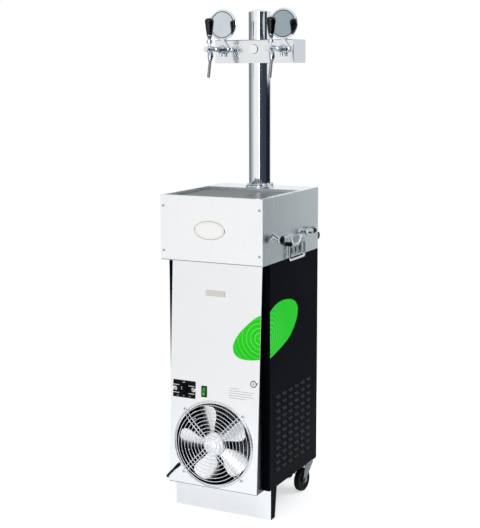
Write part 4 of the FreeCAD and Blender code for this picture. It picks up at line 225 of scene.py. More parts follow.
def grain_group():
    """Drawn-out streaks of a ground sheet, running up and down or across."""
    group, given, out = new_group("sheet_grain", [("Scale", 500.0), ("Across", 0.0)],
                                  ["Streak", "Mottle"])
    coord = add_node(group, "ShaderNodeTexCoord")
    stretch = add_node(group, "ShaderNodeCombineXYZ")
    drawn = 0.985
    turned_by = given.outputs["Across"]
    upright = math_node(group, "ADD", math_node(group, "MULTIPLY", turned_by, -drawn), 1.0)
    level = math_node(group, "ADD", math_node(group, "MULTIPLY", turned_by, drawn), 1.0 - drawn)
    group.links.new(upright, stretch.inputs["X"])
    stretch.inputs["Y"].default_value = 1.0
    group.links.new(level, stretch.inputs["Z"])
    turned = add_node(group, "ShaderNodeVectorMath", operation="MULTIPLY")
    group.links.new(coord.outputs["Object"], turned.inputs[0])
    group.links.new(stretch.outputs["Vector"], turned.inputs[1])
    streak = noise_value(group, turned.outputs["Vector"], given.outputs["Scale"], 3.0, 0.6)
    mottle = noise_value(group, coord.outputs["Object"], 7.0, 4.0, 0.55)
    group.links.new(streak, out.inputs["Streak"])
    group.links.new(mottle, out.inputs["Mottle"])
    return group


def peel_group():
    """The fine dimples of a sprayed or moulded skin, with broad smudges."""
    group, given, out = new_group("skin_peel", [("Scale", 900.0), ("Smudge", 12.0)],
                                  ["Dimple", "Smudge"])
    coord = add_node(group, "ShaderNodeTexCoord")
    dimple = noise_value(group, coord.outputs["Object"], given.outputs["Scale"], 2.0)
    smudge = noise_value(group, coord.outputs["Object"], given.outputs["Smudge"], 5.0, 0.6)
    group.links.new(dimple, out.inputs["Dimple"])
    group.links.new(smudge, out.inputs["Smudge"])
    return group


def dust_and_highlight_group():
    """Dust that settles on faces that look up, also used as a painted highlight there, and scuffs low
    down near the floor.
    """
    group, given, out = new_group("dust_scuffs_and_highlight", [("Floor Reach", 0.25)], ["Dust", "Scuff"])
    coord = add_node(group, "ShaderNodeTexCoord")
    shape = add_node(group, "ShaderNodeNewGeometry")
    facing = add_node(group, "ShaderNodeSeparateXYZ")
    group.links.new(shape.outputs["Normal"], facing.inputs[0])
    place = add_node(group, "ShaderNodeSeparateXYZ")
    group.links.new(coord.outputs["Object"], place.inputs[0])
    cloud = noise_value(group, coord.outputs["Object"], 45.0, 6.0, 0.65)
    upward = math_node(group, "MAXIMUM", facing.outputs["Z"], 0.0)
    group.links.new(math_node(group, "MULTIPLY", upward, cloud), out.inputs["Dust"])
    low = math_node(group, "SUBTRACT", given.outputs["Floor Reach"], place.outputs["Z"])
    low = math_node(group, "MAXIMUM", low, 0.0)
    share = math_node(group, "DIVIDE", low, given.outputs["Floor Reach"])
    fine = noise_value(group, coord.outputs["Object"], 160.0, 4.0, 0.7)
    sharp = math_node(group, "POWER", fine, 3.0)
    group.links.new(math_node(group, "MULTIPLY", share, sharp), out.inputs["Scuff"])
    return group


GRAIN = grain_group()
PEEL = peel_group()
DUST_AND_HIGHLIGHT = dust_and_highlight_group()


# Materials

def sheet_metal(name, base, rough, grain_depth, scale=500.0, across=0.0):
    """Ground stainless sheet: streaks in its gloss, a slow mottle in its tone."""
    shader = Shader(name, base, rough, 1.0)
    grain = shader.effect(GRAIN, Scale=scale, Across=across)
    streaks = shader.span(grain.outputs["Streak"], rough * 0.7, rough * 1.35)
    shader.link(streaks, "Roughness")
    deep = tuple(c * 0.955 for c in base)
    shader.link(shader.mix(grain.outputs["Mottle"], deep, base), "Base Color")
    shader.bump(grain.outputs["Streak"], grain_depth)
    return shader.material


def plated(name, base, rough):
    """Bright plating with faint wipe marks in its gloss."""
    shader = Shader(name, base, rough, 1.0)
    peel = shader.effect(PEEL, Scale=260.0, Smudge=22.0)
    shader.link(shader.span(peel.outputs["Smudge"], rough * 0.5, rough * 1.7), "Roughness")
    deep = tuple(c * 0.94 for c in base)
    shader.link(shader.mix(peel.outputs["Smudge"], deep, base), "Base Color")
    return shader.material


def coated(name, base, rough, dimple=0.12, specular=0.5, worn_and_highlight_tone=None, dust_and_highlight_share=0.22,
           scuff_share=0.5):
    """Powder coat, moulded plastic or rubber: a dimpled skin that dust and scuffs dull; its pale tone
    on faces that look up is also a painted highlight.
    """
    shader = Shader(name, base, rough, 0.0, Specular_IOR_Level=specular)
    peel = shader.effect(PEEL, Scale=900.0, Smudge=14.0)
    dust = shader.effect(DUST_AND_HIGHLIGHT, Floor_Reach=0.25)
    shader.link(shader.span(peel.outputs["Smudge"], rough * 0.8, rough * 1.25), "Roughness")
    # Faces that look up go pale: dust, and on the side panels a painted highlight on the louvres.
    pale = worn_and_highlight_tone or tuple(min(1.0, c * 2.2 + 0.02) for c in base)
    amount = shader.span(dust.outputs["Dust"], 0.0, dust_and_highlight_share)
    dust_and_highlight_tone = shader.mix(amount, base, pale)
    scuffed = shader.mix(shader.span(dust.outputs["Scuff"], 0.0, scuff_share), dust_and_highlight_tone, pale)
    shader.link(scuffed, "Base Color")
    shader.bump(peel.outputs["Dimple"], dimple)
    return shader.material


def silvered_lens():
    """A flat silvered disc that mirrors the grip before it, with a painted darker reflection on the
    right-hand lens.
    """
    shader = Shader("silvered_lens", (0.60, 0.66, 0.69), 0.07, 1.0)
    peel = shader.effect(PEEL, Scale=300.0, Smudge=18.0)
    shader.link(shader.span(peel.outputs["Smudge"], 0.04, 0.11), "Roughness")
    tone = shader.mix(peel.outputs["Smudge"], (0.54, 0.60, 0.63), (0.66, 0.72, 0.75))
    # Lenses right of the middle take a deeper tone: a painted darker reflection.
    right = math_node(shader.tree, "GREATER_THAN", shader.axis("Object", "X"), 0.0)
    deep = shader.mix(peel.outputs["Smudge"], (0.27, 0.34, 0.37), (0.36, 0.43, 0.46))
    shader.link(shader.mix(right, tone, deep), "Base Color")
    return shader.material


def grid_steel():
    """Ground sheet for the grid: faces that look up carry painted shade and the walls of its holes a
    painted highlight.
    """
    shader = Shader("grid_steel", (0.30, 0.33, 0.34), 0.30, 1.0, Specular_Tint=(0.36, 0.38, 0.39, 1.0))
    grain = shader.effect(GRAIN, Scale=700.0, Across=1.0)
    shader.link(shader.span(grain.outputs["Streak"], 0.22, 0.40), "Roughness")
    looks_up = 0.7
    # Faces that look up get a dark metal tone as painted shade; the hole walls get a near-white painted
    # highlight.
    up = math_node(shader.tree, "GREATER_THAN", shader.axis("Normal", "Z"), looks_up)
    top = shader.mix(grain.outputs["Mottle"], (0.27, 0.30, 0.31), (0.34, 0.37, 0.38))
    shader.link(shader.mix(up, (0.90, 0.92, 0.93), top), "Base Color")
    shader.link(up, "Metallic")
    shader.bump(grain.outputs["Streak"], 0.10)
    return shader.material


def tray_steel():
    """Ground sheet for the drip tray: bright at the rim, its floor under the grid dark with painted
    shade.
    """
    shader = Shader("tray_steel", (0.80, 0.82, 0.83), 0.22, 1.0)
    grain = shader.effect(GRAIN, Scale=600.0, Across=1.0)
    shader.link(shader.span(grain.outputs["Streak"], 0.16, 0.30), "Roughness")
    # Below the rim the tray's floor takes a near-black tone: painted shade under the grid.
    painted_shade_up_to, plain_rim_from = 1.036, 1.041
    height = ranged(shader.tree, shader.axis("Object", "Z"), painted_shade_up_to, plain_rim_from)
    rim = shader.mix(grain.outputs["Mottle"], (0.78, 0.80, 0.81), (0.84, 0.86, 0.87))
    shader.link(shader.mix(height, (0.10, 0.12, 0.125), rim), "Base Color")
    return shader.material


def cover_sheet():
    """Polished sheet for the front cover, its folded sides dark with a painted dark reflection."""
    shader = Shader("cover_sheet", (0.90, 0.91, 0.92), 0.24, 1.0)
    grain = shader.effect(GRAIN, Scale=500.0, Across=0.0)
    shader.link(shader.span(grain.outputs["Streak"], 0.17, 0.32), "Roughness")
    # Faces that look sideways, the folded sides, take a near-black tone: a painted dark reflection.
    looks_aside = 0.8
    sideways = math_node(shader.tree, "ABSOLUTE", shader.axis("Normal", "X"))
    painted_dark_fold = math_node(shader.tree, "GREATER_THAN", sideways, looks_aside)
    face = shader.mix(grain.outputs["Mottle"], (0.86, 0.87, 0.88), (0.90, 0.91, 0.92))
    shader.link(shader.mix(painted_dark_fold, face, (0.075, 0.085, 0.10)), "Base Color")
    shader.bump(grain.outputs["Streak"], 0.03)
    return shader.material


def rocker_green():
    """Clear green plastic with a cloudy depth."""
    shader = Shader("rocker_green", (0.02, 0.30, 0.03), 0.25, 0.0, Coat_Weight=0.05,
                    Coat_Roughness=0.08, Specular_IOR_Level=0.12)
    peel = shader.effect(PEEL, Scale=420.0, Smudge=60.0)
    tone = shader.mix(peel.outputs["Smudge"], (0.012, 0.22, 0.014), (0.03, 0.36, 0.03))
    shader.link(tone, "Base Color")
    return shader.material


def sticker_green(name, centre, ground_low, ground_high):
    """Printed film: bright green with paler rings that ripple out from a point."""
    shader = Shader(name, (0.02, 0.78, 0.03), 0.34, 0.0, Specular_IOR_Level=0.05)
    tree = shader.tree
    coord = add_node(tree, "ShaderNodeTexCoord")
    shift = add_node(tree, "ShaderNodeVectorMath", operation="SUBTRACT")
    shift.inputs[1].default_value = centre
    tree.links.new(coord.outputs["Object"], shift.inputs[0])
    length = add_node(tree, "ShaderNodeVectorMath", operation="LENGTH")
    tree.links.new(shift.outputs[0], length.inputs[0])
    away = length.outputs["Value"]
    ring_rate, thinness, fade_from, fade_to, paleness = 420.0, 14.0, 0.03, 0.13, 0.75
    wave = math_node(tree, "SINE", math_node(tree, "MULTIPLY", away, ring_rate))
    thin = math_node(tree, "POWER", math_node(tree, "MAXIMUM", wave, 0.0), thinness)
    rings = math_node(tree, "MULTIPLY", thin, ranged(tree, away, fade_from, fade_to, paleness, 0.0))
    cloud = noise_value(tree, coord.outputs["Object"], 9.0, 2.0)
    ground = shader.mix(cloud, ground_low, ground_high)
    shader.link(shader.mix(rings, ground, (0.55, 1.0, 0.55)), "Base Color")
    return shader.material


POLISHED = sheet_metal("polished_sheet", (0.90, 0.91, 0.92), 0.24, 0.03)
COVER_SHEET = cover_sheet()
HEAD_SHEET = sheet_metal("head_sheet", (0.96, 0.965, 0.975), 0.25, 0.03)
BAR_SHEET = plated("bar_sheet", (0.80, 0.82, 0.83), 0.13)
MIRROR = plated("mirror_tube", (0.88, 0.89, 0.90), 0.05)
GRID_STEEL = grid_steel()
TRAY_STEEL = tray_steel()
PLAIN_STEEL = sheet_metal("plain_steel", (0.55, 0.57, 0.58), 0.35, 0.12)
CHROME = plated("chrome", (0.86, 0.87, 0.88), 0.06)
TAP_CHROME = plated("tap_chrome", (0.76, 0.78, 0.82), 0.09)
SPOUT_STEEL = sheet_metal("spout_steel", (0.34, 0.36, 0.39), 0.32, 0.05)
FORK_STEEL = plated("fork_steel", (0.19, 0.22, 0.225), 0.30)
SATIN_STEEL = plated("satin_steel", (0.55, 0.60, 0.62), 0.24)
ZINC = plated("zinc_plate", (0.60, 0.62, 0.63), 0.22)
# A lighter copy of zinc_plate for the carry plates' ribs: a painted highlight.
ZINC_HIGHLIGHT = plated("zinc_painted_highlight", (0.88, 0.89, 0.90), 0.20)
ALUMINIUM = sheet_metal("blade_aluminium", (0.99, 0.99, 0.99), 0.30, 0.06, 380.0, 1.0)
GUARD_WIRE = plated("guard_wire", (0.80, 0.83, 0.86), 0.25)
COPPER = plated("copper_tube", (0.72, 0.36, 0.20), 0.25)
BLACK_COAT = coated("black_coat", (0.0026, 0.0034, 0.0060), 0.38, 0.10, 0.010)
# Side panels: the pale tone and large share on faces that look up paint highlights on the louvres,
# besides dust.
PANEL_COAT = coated("panel_coat", (0.0026, 0.0034, 0.0060), 0.38, 0.08, 0.010,
                    (0.34, 0.38, 0.40), 0.50, 0.06)
GREY_COAT = coated("grey_coat", (0.17, 0.18, 0.19), 0.45)
BLACK_MOULD = coated("black_mould", (0.0030, 0.0034, 0.0050), 0.34, 0.08, 0.07)
GRIP_BLACK = coated("grip_black", (0.0012, 0.0012, 0.003), 0.07, 0.0, 0.5, (0.01, 0.011, 0.014), 0.05)
BLACK_RUBBER = coated("black_rubber", (0.010, 0.010, 0.011), 0.55, 0.15, 0.25)
TYRE = coated("wheel_tyre", (0.006, 0.006, 0.007), 0.6, 0.18, 0.12)
FOAM = coated("foam", (0.78, 0.76, 0.70), 0.8, 0.4, 0.2)
PLATE_WHITE = plated("plate_white", (0.99, 0.99, 0.975), 0.24)
PLATE_CREAM = coated("plate_cream", (0.87, 0.85, 0.76), 0.28, 0.02, 0.4)
PLATE_GOLD = plated("plate_gold", (0.70, 0.65, 0.50), 0.30)
SLOT_DARK = coated("slot_dark", (0.010, 0.010, 0.011), 0.5, 0.08, 0.1)
# Grey for the painted shadow lines.
SHADOW_LINE_GREY = coated("shadow_line_grey", (0.26, 0.28, 0.31), 0.5, 0.05, 0.2)
STRAP = coated("tie_strap", (0.03, 0.03, 0.032), 0.7, 0.25, 0.2)
PRINT_WHITE = coated("print_white", (0.85, 0.85, 0.85), 0.5, 0.03, 0.4)
PRINT_GREY = coated("print_grey", (0.30, 0.31, 0.33), 0.5, 0.03, 0.4)
LENS = silvered_lens()
ROCKER = rocker_green()

NODE_FINISH = {
    "chassis_frame": BLACK_COAT, "right_side_panel": PANEL_COAT, "left_side_panel": PANEL_COAT,
    "rear_panel": BLACK_COAT, "front_cover": COVER_SHEET, "foot_plate": POLISHED,
    "foot_bracket": BLACK_COAT, "head_box": HEAD_SHEET, "drip_tray": TRAY_STEEL,
    "drip_grid": GRID_STEEL, "bath_tank": PLAIN_STEEL, "bath_insulation": FOAM,
    "agitator_motor": GREY_COAT, "agitator_impeller": BLACK_MOULD, "product_lines": PLAIN_STEEL,
    "refrigerant_lines": COPPER, "compressor": BLACK_COAT, "condenser": PLAIN_STEEL,
    "fan_shroud": BLACK_COAT, "fan_motor": GREY_COAT, "fan_blades": ALUMINIUM,
    "fan_guard": GUARD_WIRE, "thermostat_plate": BLACK_MOULD, "thermostat_knob": BLACK_MOULD,
    "switch_housing": BLACK_MOULD, "switch_rocker": ROCKER, "cover_lock": CHROME,
    "name_plates": PLATE_GOLD, "screws": ZINC, "column_flange": TAP_CHROME, "column_tube": MIRROR,
    "tower_caps": MIRROR, "tap_bar": BAR_SHEET, "tap_shanks": TAP_CHROME, "tap_bodies": TAP_CHROME,
    "tap_spouts": SPOUT_STEEL, "medallions": TAP_CHROME, "medallion_lenses": LENS,
    "lever_right": TAP_CHROME, "lever_left": TAP_CHROME,
    "lever_grip_right": GRIP_BLACK, "lever_grip_left": GRIP_BLACK,
    "side_pipes": SATIN_STEEL, "side_valve_knob": BLACK_MOULD, "union_cap": SATIN_STEEL,
    "carry_plates": ZINC, "carry_bail_right": CHROME, "carry_bail_left": CHROME,
    "push_bar": MIRROR, "rubber_trims": BLACK_RUBBER, "caster_plates": FORK_STEEL,
    "caster_fork_left": FORK_STEEL, "caster_fork_right": FORK_STEEL, "caster_wheel_left": TYRE,
    "caster_wheel_right": TYRE, "cord_gland": BLACK_MOULD, "cord_tube": BLACK_RUBBER,
    "cord_coil": BLACK_RUBBER, "cord_tail": BLACK_RUBBER, "cord_plug": BLACK_MOULD,
}


def finish_nodes():
    """Gives each solid's mesh its finish."""
    for node, material in NODE_FINISH.items():
        slots = NODES[node].material_slots
        if not slots:
            NODES[node].data.materials.append(material)
        for place in slots:
            place.material = material


finish_nodes()


# Mesh helpers

FACING_FRONT = Matrix.Rotation(math.pi / 2, 4, "X")
FACING_RIGHT = Matrix.Rotation(math.pi / 2, 4, "Z") @ FACING_FRONT
FACING_LEFT = Matrix.Rotation(-math.pi / 2, 4, "Z") @ FACING_FRONT


def upright(x, y, z, facing=FACING_FRONT):
    """Placement on an upright face: X across, Y up, Z out of it."""
    return Matrix.Translation((x, y, z)) @ facing


def cover_frame(x, z, height=0.0):
    """Placement on the sloping cover: X across, Y up the slope, Z out of it."""
    slope = math.atan2(COVER_LEAN_TOP - COVER_LEAN_FOOT, COVER_HEIGHT)
    share = (z - COVER_FOOT_Z) / COVER_HEIGHT
    y = HEAD_FRONT + COVER_LEAN_FOOT + (COVER_LEAN_TOP - COVER_LEAN_FOOT) * share
    turn = Matrix.Rotation(math.pi / 2 - slope, 4, "X")
    return Matrix.Translation((x, y, z)) @ turn @ Matrix.Translation((0, 0, height))


def mount(name, data, body):
    """An object that rides a body."""
    piece = add_object(name, data)
    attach(piece, body)
    return piece


def new_piece(name, mesh_maker, material, body, place=None):
    """Builds a mesh in a bmesh, puts its place into its vertices and lets it ride a body."""
    mesh = bpy.data.meshes.new(name)
    bm = bmesh.new()
    mesh_maker(bm)
    bmesh.ops.remove_doubles(bm, verts=bm.verts, dist=1e-6)
    bmesh.ops.recalc_face_normals(bm, faces=bm.faces)
    if place is not None:
        bm.transform(place)
    bm.to_mesh(mesh)
    bm.free()
    mesh.materials.append(material)
    return mount(name, mesh, body)


def join_rows(bm, row, ahead):
    """Faces between two closed rows with as many points."""
    for i in range(len(row)):
        j = (i + 1) % len(row)
        bm.faces.new((row[i], row[j], ahead[j], ahead[i]))


def add_film(bm, outline, thickness):
    """A thin film with a given outline, its back on Z = 0."""
    low = [bm.verts.new((x, y, 0.0)) for x, y in outline]
    high = [bm.verts.new((x, y, thickness)) for x, y in outline]
    bm.faces.new(high)
    bm.faces.new(list(reversed(low)))
    join_rows(bm, low, high)


def add_capped(bm, rows):
    """A skin through closed rows of points, with a lid on both ends."""
    for row, ahead in zip(rows, rows[1:]):
        join_rows(bm, row, ahead)
    bm.faces.new(rows[0])
    bm.faces.new(rows[-1])


def add_hoop(bm, sections, count):
    """A closed ring through ovals, each given by its width, height and rise."""
    rows = [[bm.verts.new((x, y, rise)) for x, y in oval(width, height, count)]
            for width, height, rise in sections]
    for row, ahead in zip(rows, rows[1:] + rows[:1]):
        join_rows(bm, row, ahead)


def add_tube(bm, line, radius, sides=12):
    """A round bar along a line that lies in the XY plane, with closed ends."""
    rings = []
    for here, (x, y) in enumerate(line):
        before, after = line[max(here - 1, 0)], line[min(here + 1, len(line) - 1)]
        way = Vector((after[0] - before[0], after[1] - before[1])).normalized()
        ring = []
        for i in range(sides):
            a = 2 * math.pi * i / sides
            out = radius * math.cos(a)
            ring.append(bm.verts.new((x - way.y * out, y + way.x * out, radius * math.sin(a))))
        rings.append(ring)
    add_capped(bm, rings)


def film_piece(name, outline, thickness, material, body, place):
    return new_piece(name, lambda bm: add_film(bm, outline, thickness), material, body, place)


def hoop_piece(name, sections, material, body, place, count=96):
    return new_piece(name, lambda bm: add_hoop(bm, sections, count), material, body, place)


def flat_hoop(outer, inner, low, high):
    """Sections of a flat ring between two ovals."""
    return (*outer, low), (*outer, high), (*inner, high), (*inner, low)


def round_hoop(steps):
    """Sections of a round ring, from its radius and rise at each step."""
    return [(2 * radius, 2 * radius, rise) for radius, rise in steps]


def seal_hoop(radius, width, height):
    """Sections of a low seal with sloping edges."""
    reach = 0.3 * width
    return round_hoop(((radius + width / 2, 0.0), (radius + reach, height),
                       (radius - reach, height), (radius - width / 2, 0.0)))


def oval(width, height, count=96, centre=(0.0, 0.0)):
    points = []
    for i in range(count):
        a = 2 * math.pi * i / count
        points.append((centre[0] + width / 2 * math.cos(a), centre[1] + height / 2 * math.sin(a)))
    return points


def rounded_box(width, height, radius, centre=(0.0, 0.0), steps=6):
    points = []
    for turn, (sx, sy) in enumerate(((1, 1), (-1, 1), (-1, -1), (1, -1))):
        for i in range(steps + 1):
            a = math.pi / 2 * (turn + i / steps)
            points.append((centre[0] + sx * (width / 2 - radius) + radius * math.cos(a),
                           centre[1] + sy * (height / 2 - radius) + radius * math.sin(a)))
    return points


def flowing(points, steps=6):
    """A smooth line through points, as a list of points."""
    ends = [points[0]] + points + [points[-1]]
    line = []
    for before, start, end, after in zip(ends, ends[1:], ends[2:], ends[3:]):
        for i in range(steps):
            t = i / steps
            line.append(tuple(
                0.5 * (2 * b + (c - a) * t + (2 * a - 5 * b + 4 * c - d) * t * t
                       + (3 * b - a - 3 * c + d) * t ** 3)
                for a, b, c, d in zip(before, start, end, after)))
    return line + [points[-1]]


# The mains lead: one smooth line through the route's points

LEAD_ROUTE = [
    (-0.138454, -0.092140, 0.151153), (-0.148992, -0.092770, 0.140496),
    (-0.167500, -0.095500, 0.121000), (-0.171000, -0.069000, 0.112000),
    (-0.187500, -0.033000, 0.104000), (-0.190500, 0.011000, 0.082000),
    (-0.191000, 0.054000, 0.047000), (-0.194000, 0.099000, 0.019000),
    (-0.203000, 0.145000, 0.006000), (-0.216000, 0.197000, 0.004000),
    (-0.225000, 0.253000, 0.004000), (-0.226000, 0.309000, 0.004000),
    (-0.212000, 0.359000, 0.004000), (-0.178000, 0.393000, 0.004000),
    (-0.114981, 0.402177, 0.004000), (-0.066998, 0.403441, 0.004000)]
TAIL_ROUTE = [
    (-0.053002, 0.403441, 0.011800), (-0.027011, 0.402756, 0.011800),
    (0.000000, 0.399000, 0.019000), (0.026000, 0.390000, 0.019000)]


def coil_route(steps=16):
    """Turns that wind in on the floor, climb one layer and wind out on top."""
    middle, pitch, turns_in, climb, rise = 0.042, 0.009, 2.75, 0.5, 0.0078
    outer = middle + pitch * turns_in / 2
    inner = outer - pitch * turns_in
    total = 2 * turns_in + climb
    spread = 1 / math.cos(math.pi / steps) ** 2
    points = []
    for i in range(1, round(total * steps)):
        turns = i / steps
        angle = math.radians(270.0) + 2 * math.pi * turns
        if turns <= turns_in:
            radius, height = outer - pitch * turns, 0.0
        elif turns <= turns_in + climb:
            share = (turns - turns_in) / climb
            radius, height = inner, rise * (1 - math.cos(math.pi * share)) / 2
        else:
            radius, height = inner + pitch * (turns - turns_in - climb), rise
        radius *= spread
        points.append((COIL_X + radius * math.cos(angle), COIL_Y + radius * math.sin(angle),
                       COIL_FOOT + height))
    return points


def spline_length(curve_object):
    """Length of a curve without its bevel."""
    plain = bpy.data.meshes.new_from_object(curve_object)
    total = sum((plain.vertices[e.vertices[0]].co - plain.vertices[e.vertices[1]].co).length
                for e in plain.edges)
    bpy.data.meshes.remove(plain)
    return total


def make_tie():
    """A strap round all the turns of the coil, flat on the floor below them."""
    inner, outer, low, high = 0.0245, 0.0590, 0.00045, 0.0158
    wall, half_width, bend, rise = 0.0004, 0.0050, 0.003, 0.004

    def strap(bm):
        rows = []
        for side, grow in ((-1, 0.0), (-1, wall), (1, wall), (1, 0.0)):
            section = ((inner - grow, low + rise), (inner - grow, high - rise),
                       (inner + bend, high + grow), (outer - bend, high + grow),
                       (outer + grow, high - rise), (outer + grow, low + rise),
                       (outer - bend, low - grow), (inner + bend, low - grow))
            rows.append([bm.verts.new((COIL_X - x, COIL_Y + side * half_width, z)) for x, z in section])
        for row, ahead in zip(rows, rows[1:] + rows[:1]):
            join_rows(bm, row, ahead)

    return new_piece("lead_tie", strap, STRAP, "cooler")


def make_lead():
    points = LEAD_ROUTE + coil_route() + TAIL_ROUTE
    data = bpy.data.curves.new("mains_lead", "CURVE")
    data.dimensions = "3D"
    data.resolution_u = 8
    spline = data.splines.new("NURBS")
    spline.points.add(len(points) - 1)
    for place, co in zip(spline.points, points):
        place.co = (*co, 1.0)
    spline.order_u = 3
    spline.use_endpoint_u = True
    lead = add_object("mains_lead", data)
    length = spline_length(lead)
    data.bevel_depth = CORD_RADIUS
    data.bevel_resolution = 4
    data.use_fill_caps = True
    data.materials.append(BLACK_RUBBER)
    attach(lead, "cooler")
    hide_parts("cord_tube", "cord_coil", "cord_tail")
    make_tie()


make_lead()


# Repeats, each a Geometry Nodes tree turned into a plain mesh

def start_tree(name, sizes):
    """A tree with named inputs for its sizes, and each size under its socket's identifier."""
    tree = bpy.data.node_groups.new(name, "GeometryNodeTree")
    made = {}
    for label, kind, value in sizes:
        socket = tree.interface.new_socket(label, in_out="INPUT", socket_type="NodeSocket" + kind)
        made[socket.identifier] = value
    tree.interface.new_socket("Geometry", in_out="OUTPUT", socket_type="NodeSocketGeometry")
    return tree, made, tree.nodes.new("NodeGroupInput").outputs


def end_tree(tree, points, shape, material, turn=None):
    """Stands the shape on every point, makes the copies real and gives them their finish."""
    place = tree.nodes.new("GeometryNodeInstanceOnPoints")
    tree.links.new(points, place.inputs["Points"])
    tree.links.new(shape, place.inputs["Instance"])
    if turn is not None:
        tree.links.new(turn, place.inputs["Rotation"])
    real = tree.nodes.new("GeometryNodeRealizeInstances")
    tree.links.new(place.outputs["Instances"], real.inputs["Geometry"])
    paint = tree.nodes.new("GeometryNodeSetMaterial")
    paint.inputs["Material"].default_value = material
    tree.links.new(real.outputs["Geometry"], paint.inputs["Geometry"])
    out = tree.nodes.new("NodeGroupOutput")
    tree.links.new(paint.outputs["Geometry"], out.inputs["Geometry"])


def rivet_tree(name, columns, rows, pitch_x, pitch_y, head, material):
    """Rivet heads in rows and columns on the XY plane."""
    tree, made, given = start_tree(name, (
        ("Columns", "Int", columns), ("Rows", "Int", rows), ("Width", "Float", pitch_x * (columns - 1)),
        ("Height", "Float", pitch_y * (rows - 1)), ("Stud Radius", "Float", 0.5)))
    grid = tree.nodes.new("GeometryNodeMeshGrid")
    for label, socket in (("Columns", "Vertices X"), ("Rows", "Vertices Y"), ("Width", "Size X"),
                          ("Height", "Size Y")):
        tree.links.new(given[label], grid.inputs[socket])
    stud = tree.nodes.new("GeometryNodeMeshUVSphere")
    stud.inputs["Segments"].default_value = 12
    stud.inputs["Rings"].default_value = 8
    tree.links.new(given["Stud Radius"], stud.inputs["Radius"])
    shape = tree.nodes.new("GeometryNodeTransform")
    shape.inputs["Scale"].default_value = head
    tree.links.new(stud.outputs["Mesh"], shape.inputs["Geometry"])
    end_tree(tree, grid.outputs["Mesh"], shape.outputs["Geometry"], material)
    return tree, made


def ring_tree(name, count, radius, block_size, material):
    """Blocks standing round a circle, each turned to face outwards."""
    tree, made, given = start_tree(name, (("Count", "Int", count), ("Radius", "Float", radius)))
    circle = tree.nodes.new("GeometryNodeMeshCircle")
    tree.links.new(given["Count"], circle.inputs["Vertices"])
    tree.links.new(given["Radius"], circle.inputs["Radius"])
    block = tree.nodes.new("GeometryNodeMeshCube")
    block.inputs["Size"].default_value = block_size
    index = tree.nodes.new("GeometryNodeInputIndex")
    share = math_node(tree, "DIVIDE", index.outputs[0], given["Count"])
    turn = tree.nodes.new("ShaderNodeCombineXYZ")
    tree.links.new(math_node(tree, "MULTIPLY", share, 2 * math.pi), turn.inputs["Z"])
    end_tree(tree, circle.outputs["Mesh"], block.outputs["Mesh"], material, turn.outputs["Vector"])
    return tree, made


def repeat_piece(name, tree_and_sizes, body, place):
    """Evaluates a tree once and keeps the result as a plain mesh."""
    tree, made = tree_and_sizes
    maker = add_object(name + "_maker", bpy.data.meshes.new(name + "_maker"))
    modifier = maker.modifiers.new("repeat", "NODES")
    modifier.node_group = tree
    for identifier, value in made.items():
        modifier[identifier] = value
    bpy.context.view_layer.update()
    evaluated = maker.evaluated_get(bpy.context.evaluated_depsgraph_get())
    mesh = bpy.data.meshes.new_from_object(evaluated)
    maker.modifiers.remove(modifier)
    bpy.data.objects.remove(maker)
    mesh.transform(place)
    mesh.name = name
    return mount(name, mesh, body)


# Dressing

def dress_thermostat():
    """Printed marks on the plate, ribs round the knob and a pointer on it."""
    plate_top, knob_foot, knob_top = (
        cover_frame(KNOB_X, CONTROLS_Z, height) for height in (0.0031, 0.0050, 0.01842))

    def marks(bm):
        for side in (-1, 1):
            for y in (0.0125, -0.0130):
                add_film(bm, rounded_box(0.0225, 0.0022, 0.0008, (side * 0.0283, y), 3), PRINT_FILM)
            add_film(bm, rounded_box(0.0060, 0.0016, 0.0006, (side * 0.0225, -0.0225), 3), PRINT_FILM)
        add_film(bm, rounded_box(0.0090, 0.0022, 0.0008, (0.0, 0.0225), 3), PRINT_FILM)
        add_film(bm, oval(0.0034, 0.0034, 20, (0.0, -0.0220)), PRINT_FILM)

    new_piece("thermostat_marks", marks, PRINT_WHITE, "cooler", plate_top)
    ribs = ring_tree("knob_rib_ring", 36, 0.0161, (0.0010, 0.0014, 0.0030), BLACK_MOULD)
    repeat_piece("knob_ribs", ribs, "knob", knob_foot)
    film_piece("knob_pointer", rounded_box(0.0016, 0.0100, 0.0006, (0.0, 0.0070), 3), FINE_FILM,
               PRINT_WHITE, "knob", knob_top)


def dress_front():
    """Painted shadow lines along the bar's top edge, under the head box and at the cover's foot, and
    painted shade in the lock's ring groove and key slot.
    """
    # Thin grey films: painted shadow where one part meets or overhangs another.
    for name, width, height, place in (
            ("bar_top_shadow_line", 0.2800, 0.0020, upright(0.0, BAR_FACE, BAR_TOP - 0.0012)),
            ("head_shadow_line", 0.3560, 0.0022, upright(0.0, HEAD_FRONT, HEAD_JOINT_Z)),
            ("cover_foot_shadow_line", 0.3180, 0.0018, cover_frame(0.0, COVER_FOOT_Z + 0.0012))):
        film_piece(name, rounded_box(width, height, 0.0004), PRINT_FILM, SHADOW_LINE_GREY, "cooler",
                   place)
    # The lock's dark ring and key slot are painted shade.
    lock = cover_frame(LOCK_X, LOCK_Z, 0.0030)
    rise = 0.00035
    ring = round_hoop(((0.0112, 0.0), (0.0109, rise), (0.0088, rise), (0.0085, 0.0)))
    hoop_piece("lock_ring", ring, SLOT_DARK, "lock", lock, 64)
    film_piece("lock_key_slot", rounded_box(0.0022, 0.0086, 0.0008), FINE_FILM, SLOT_DARK, "lock",
               lock)


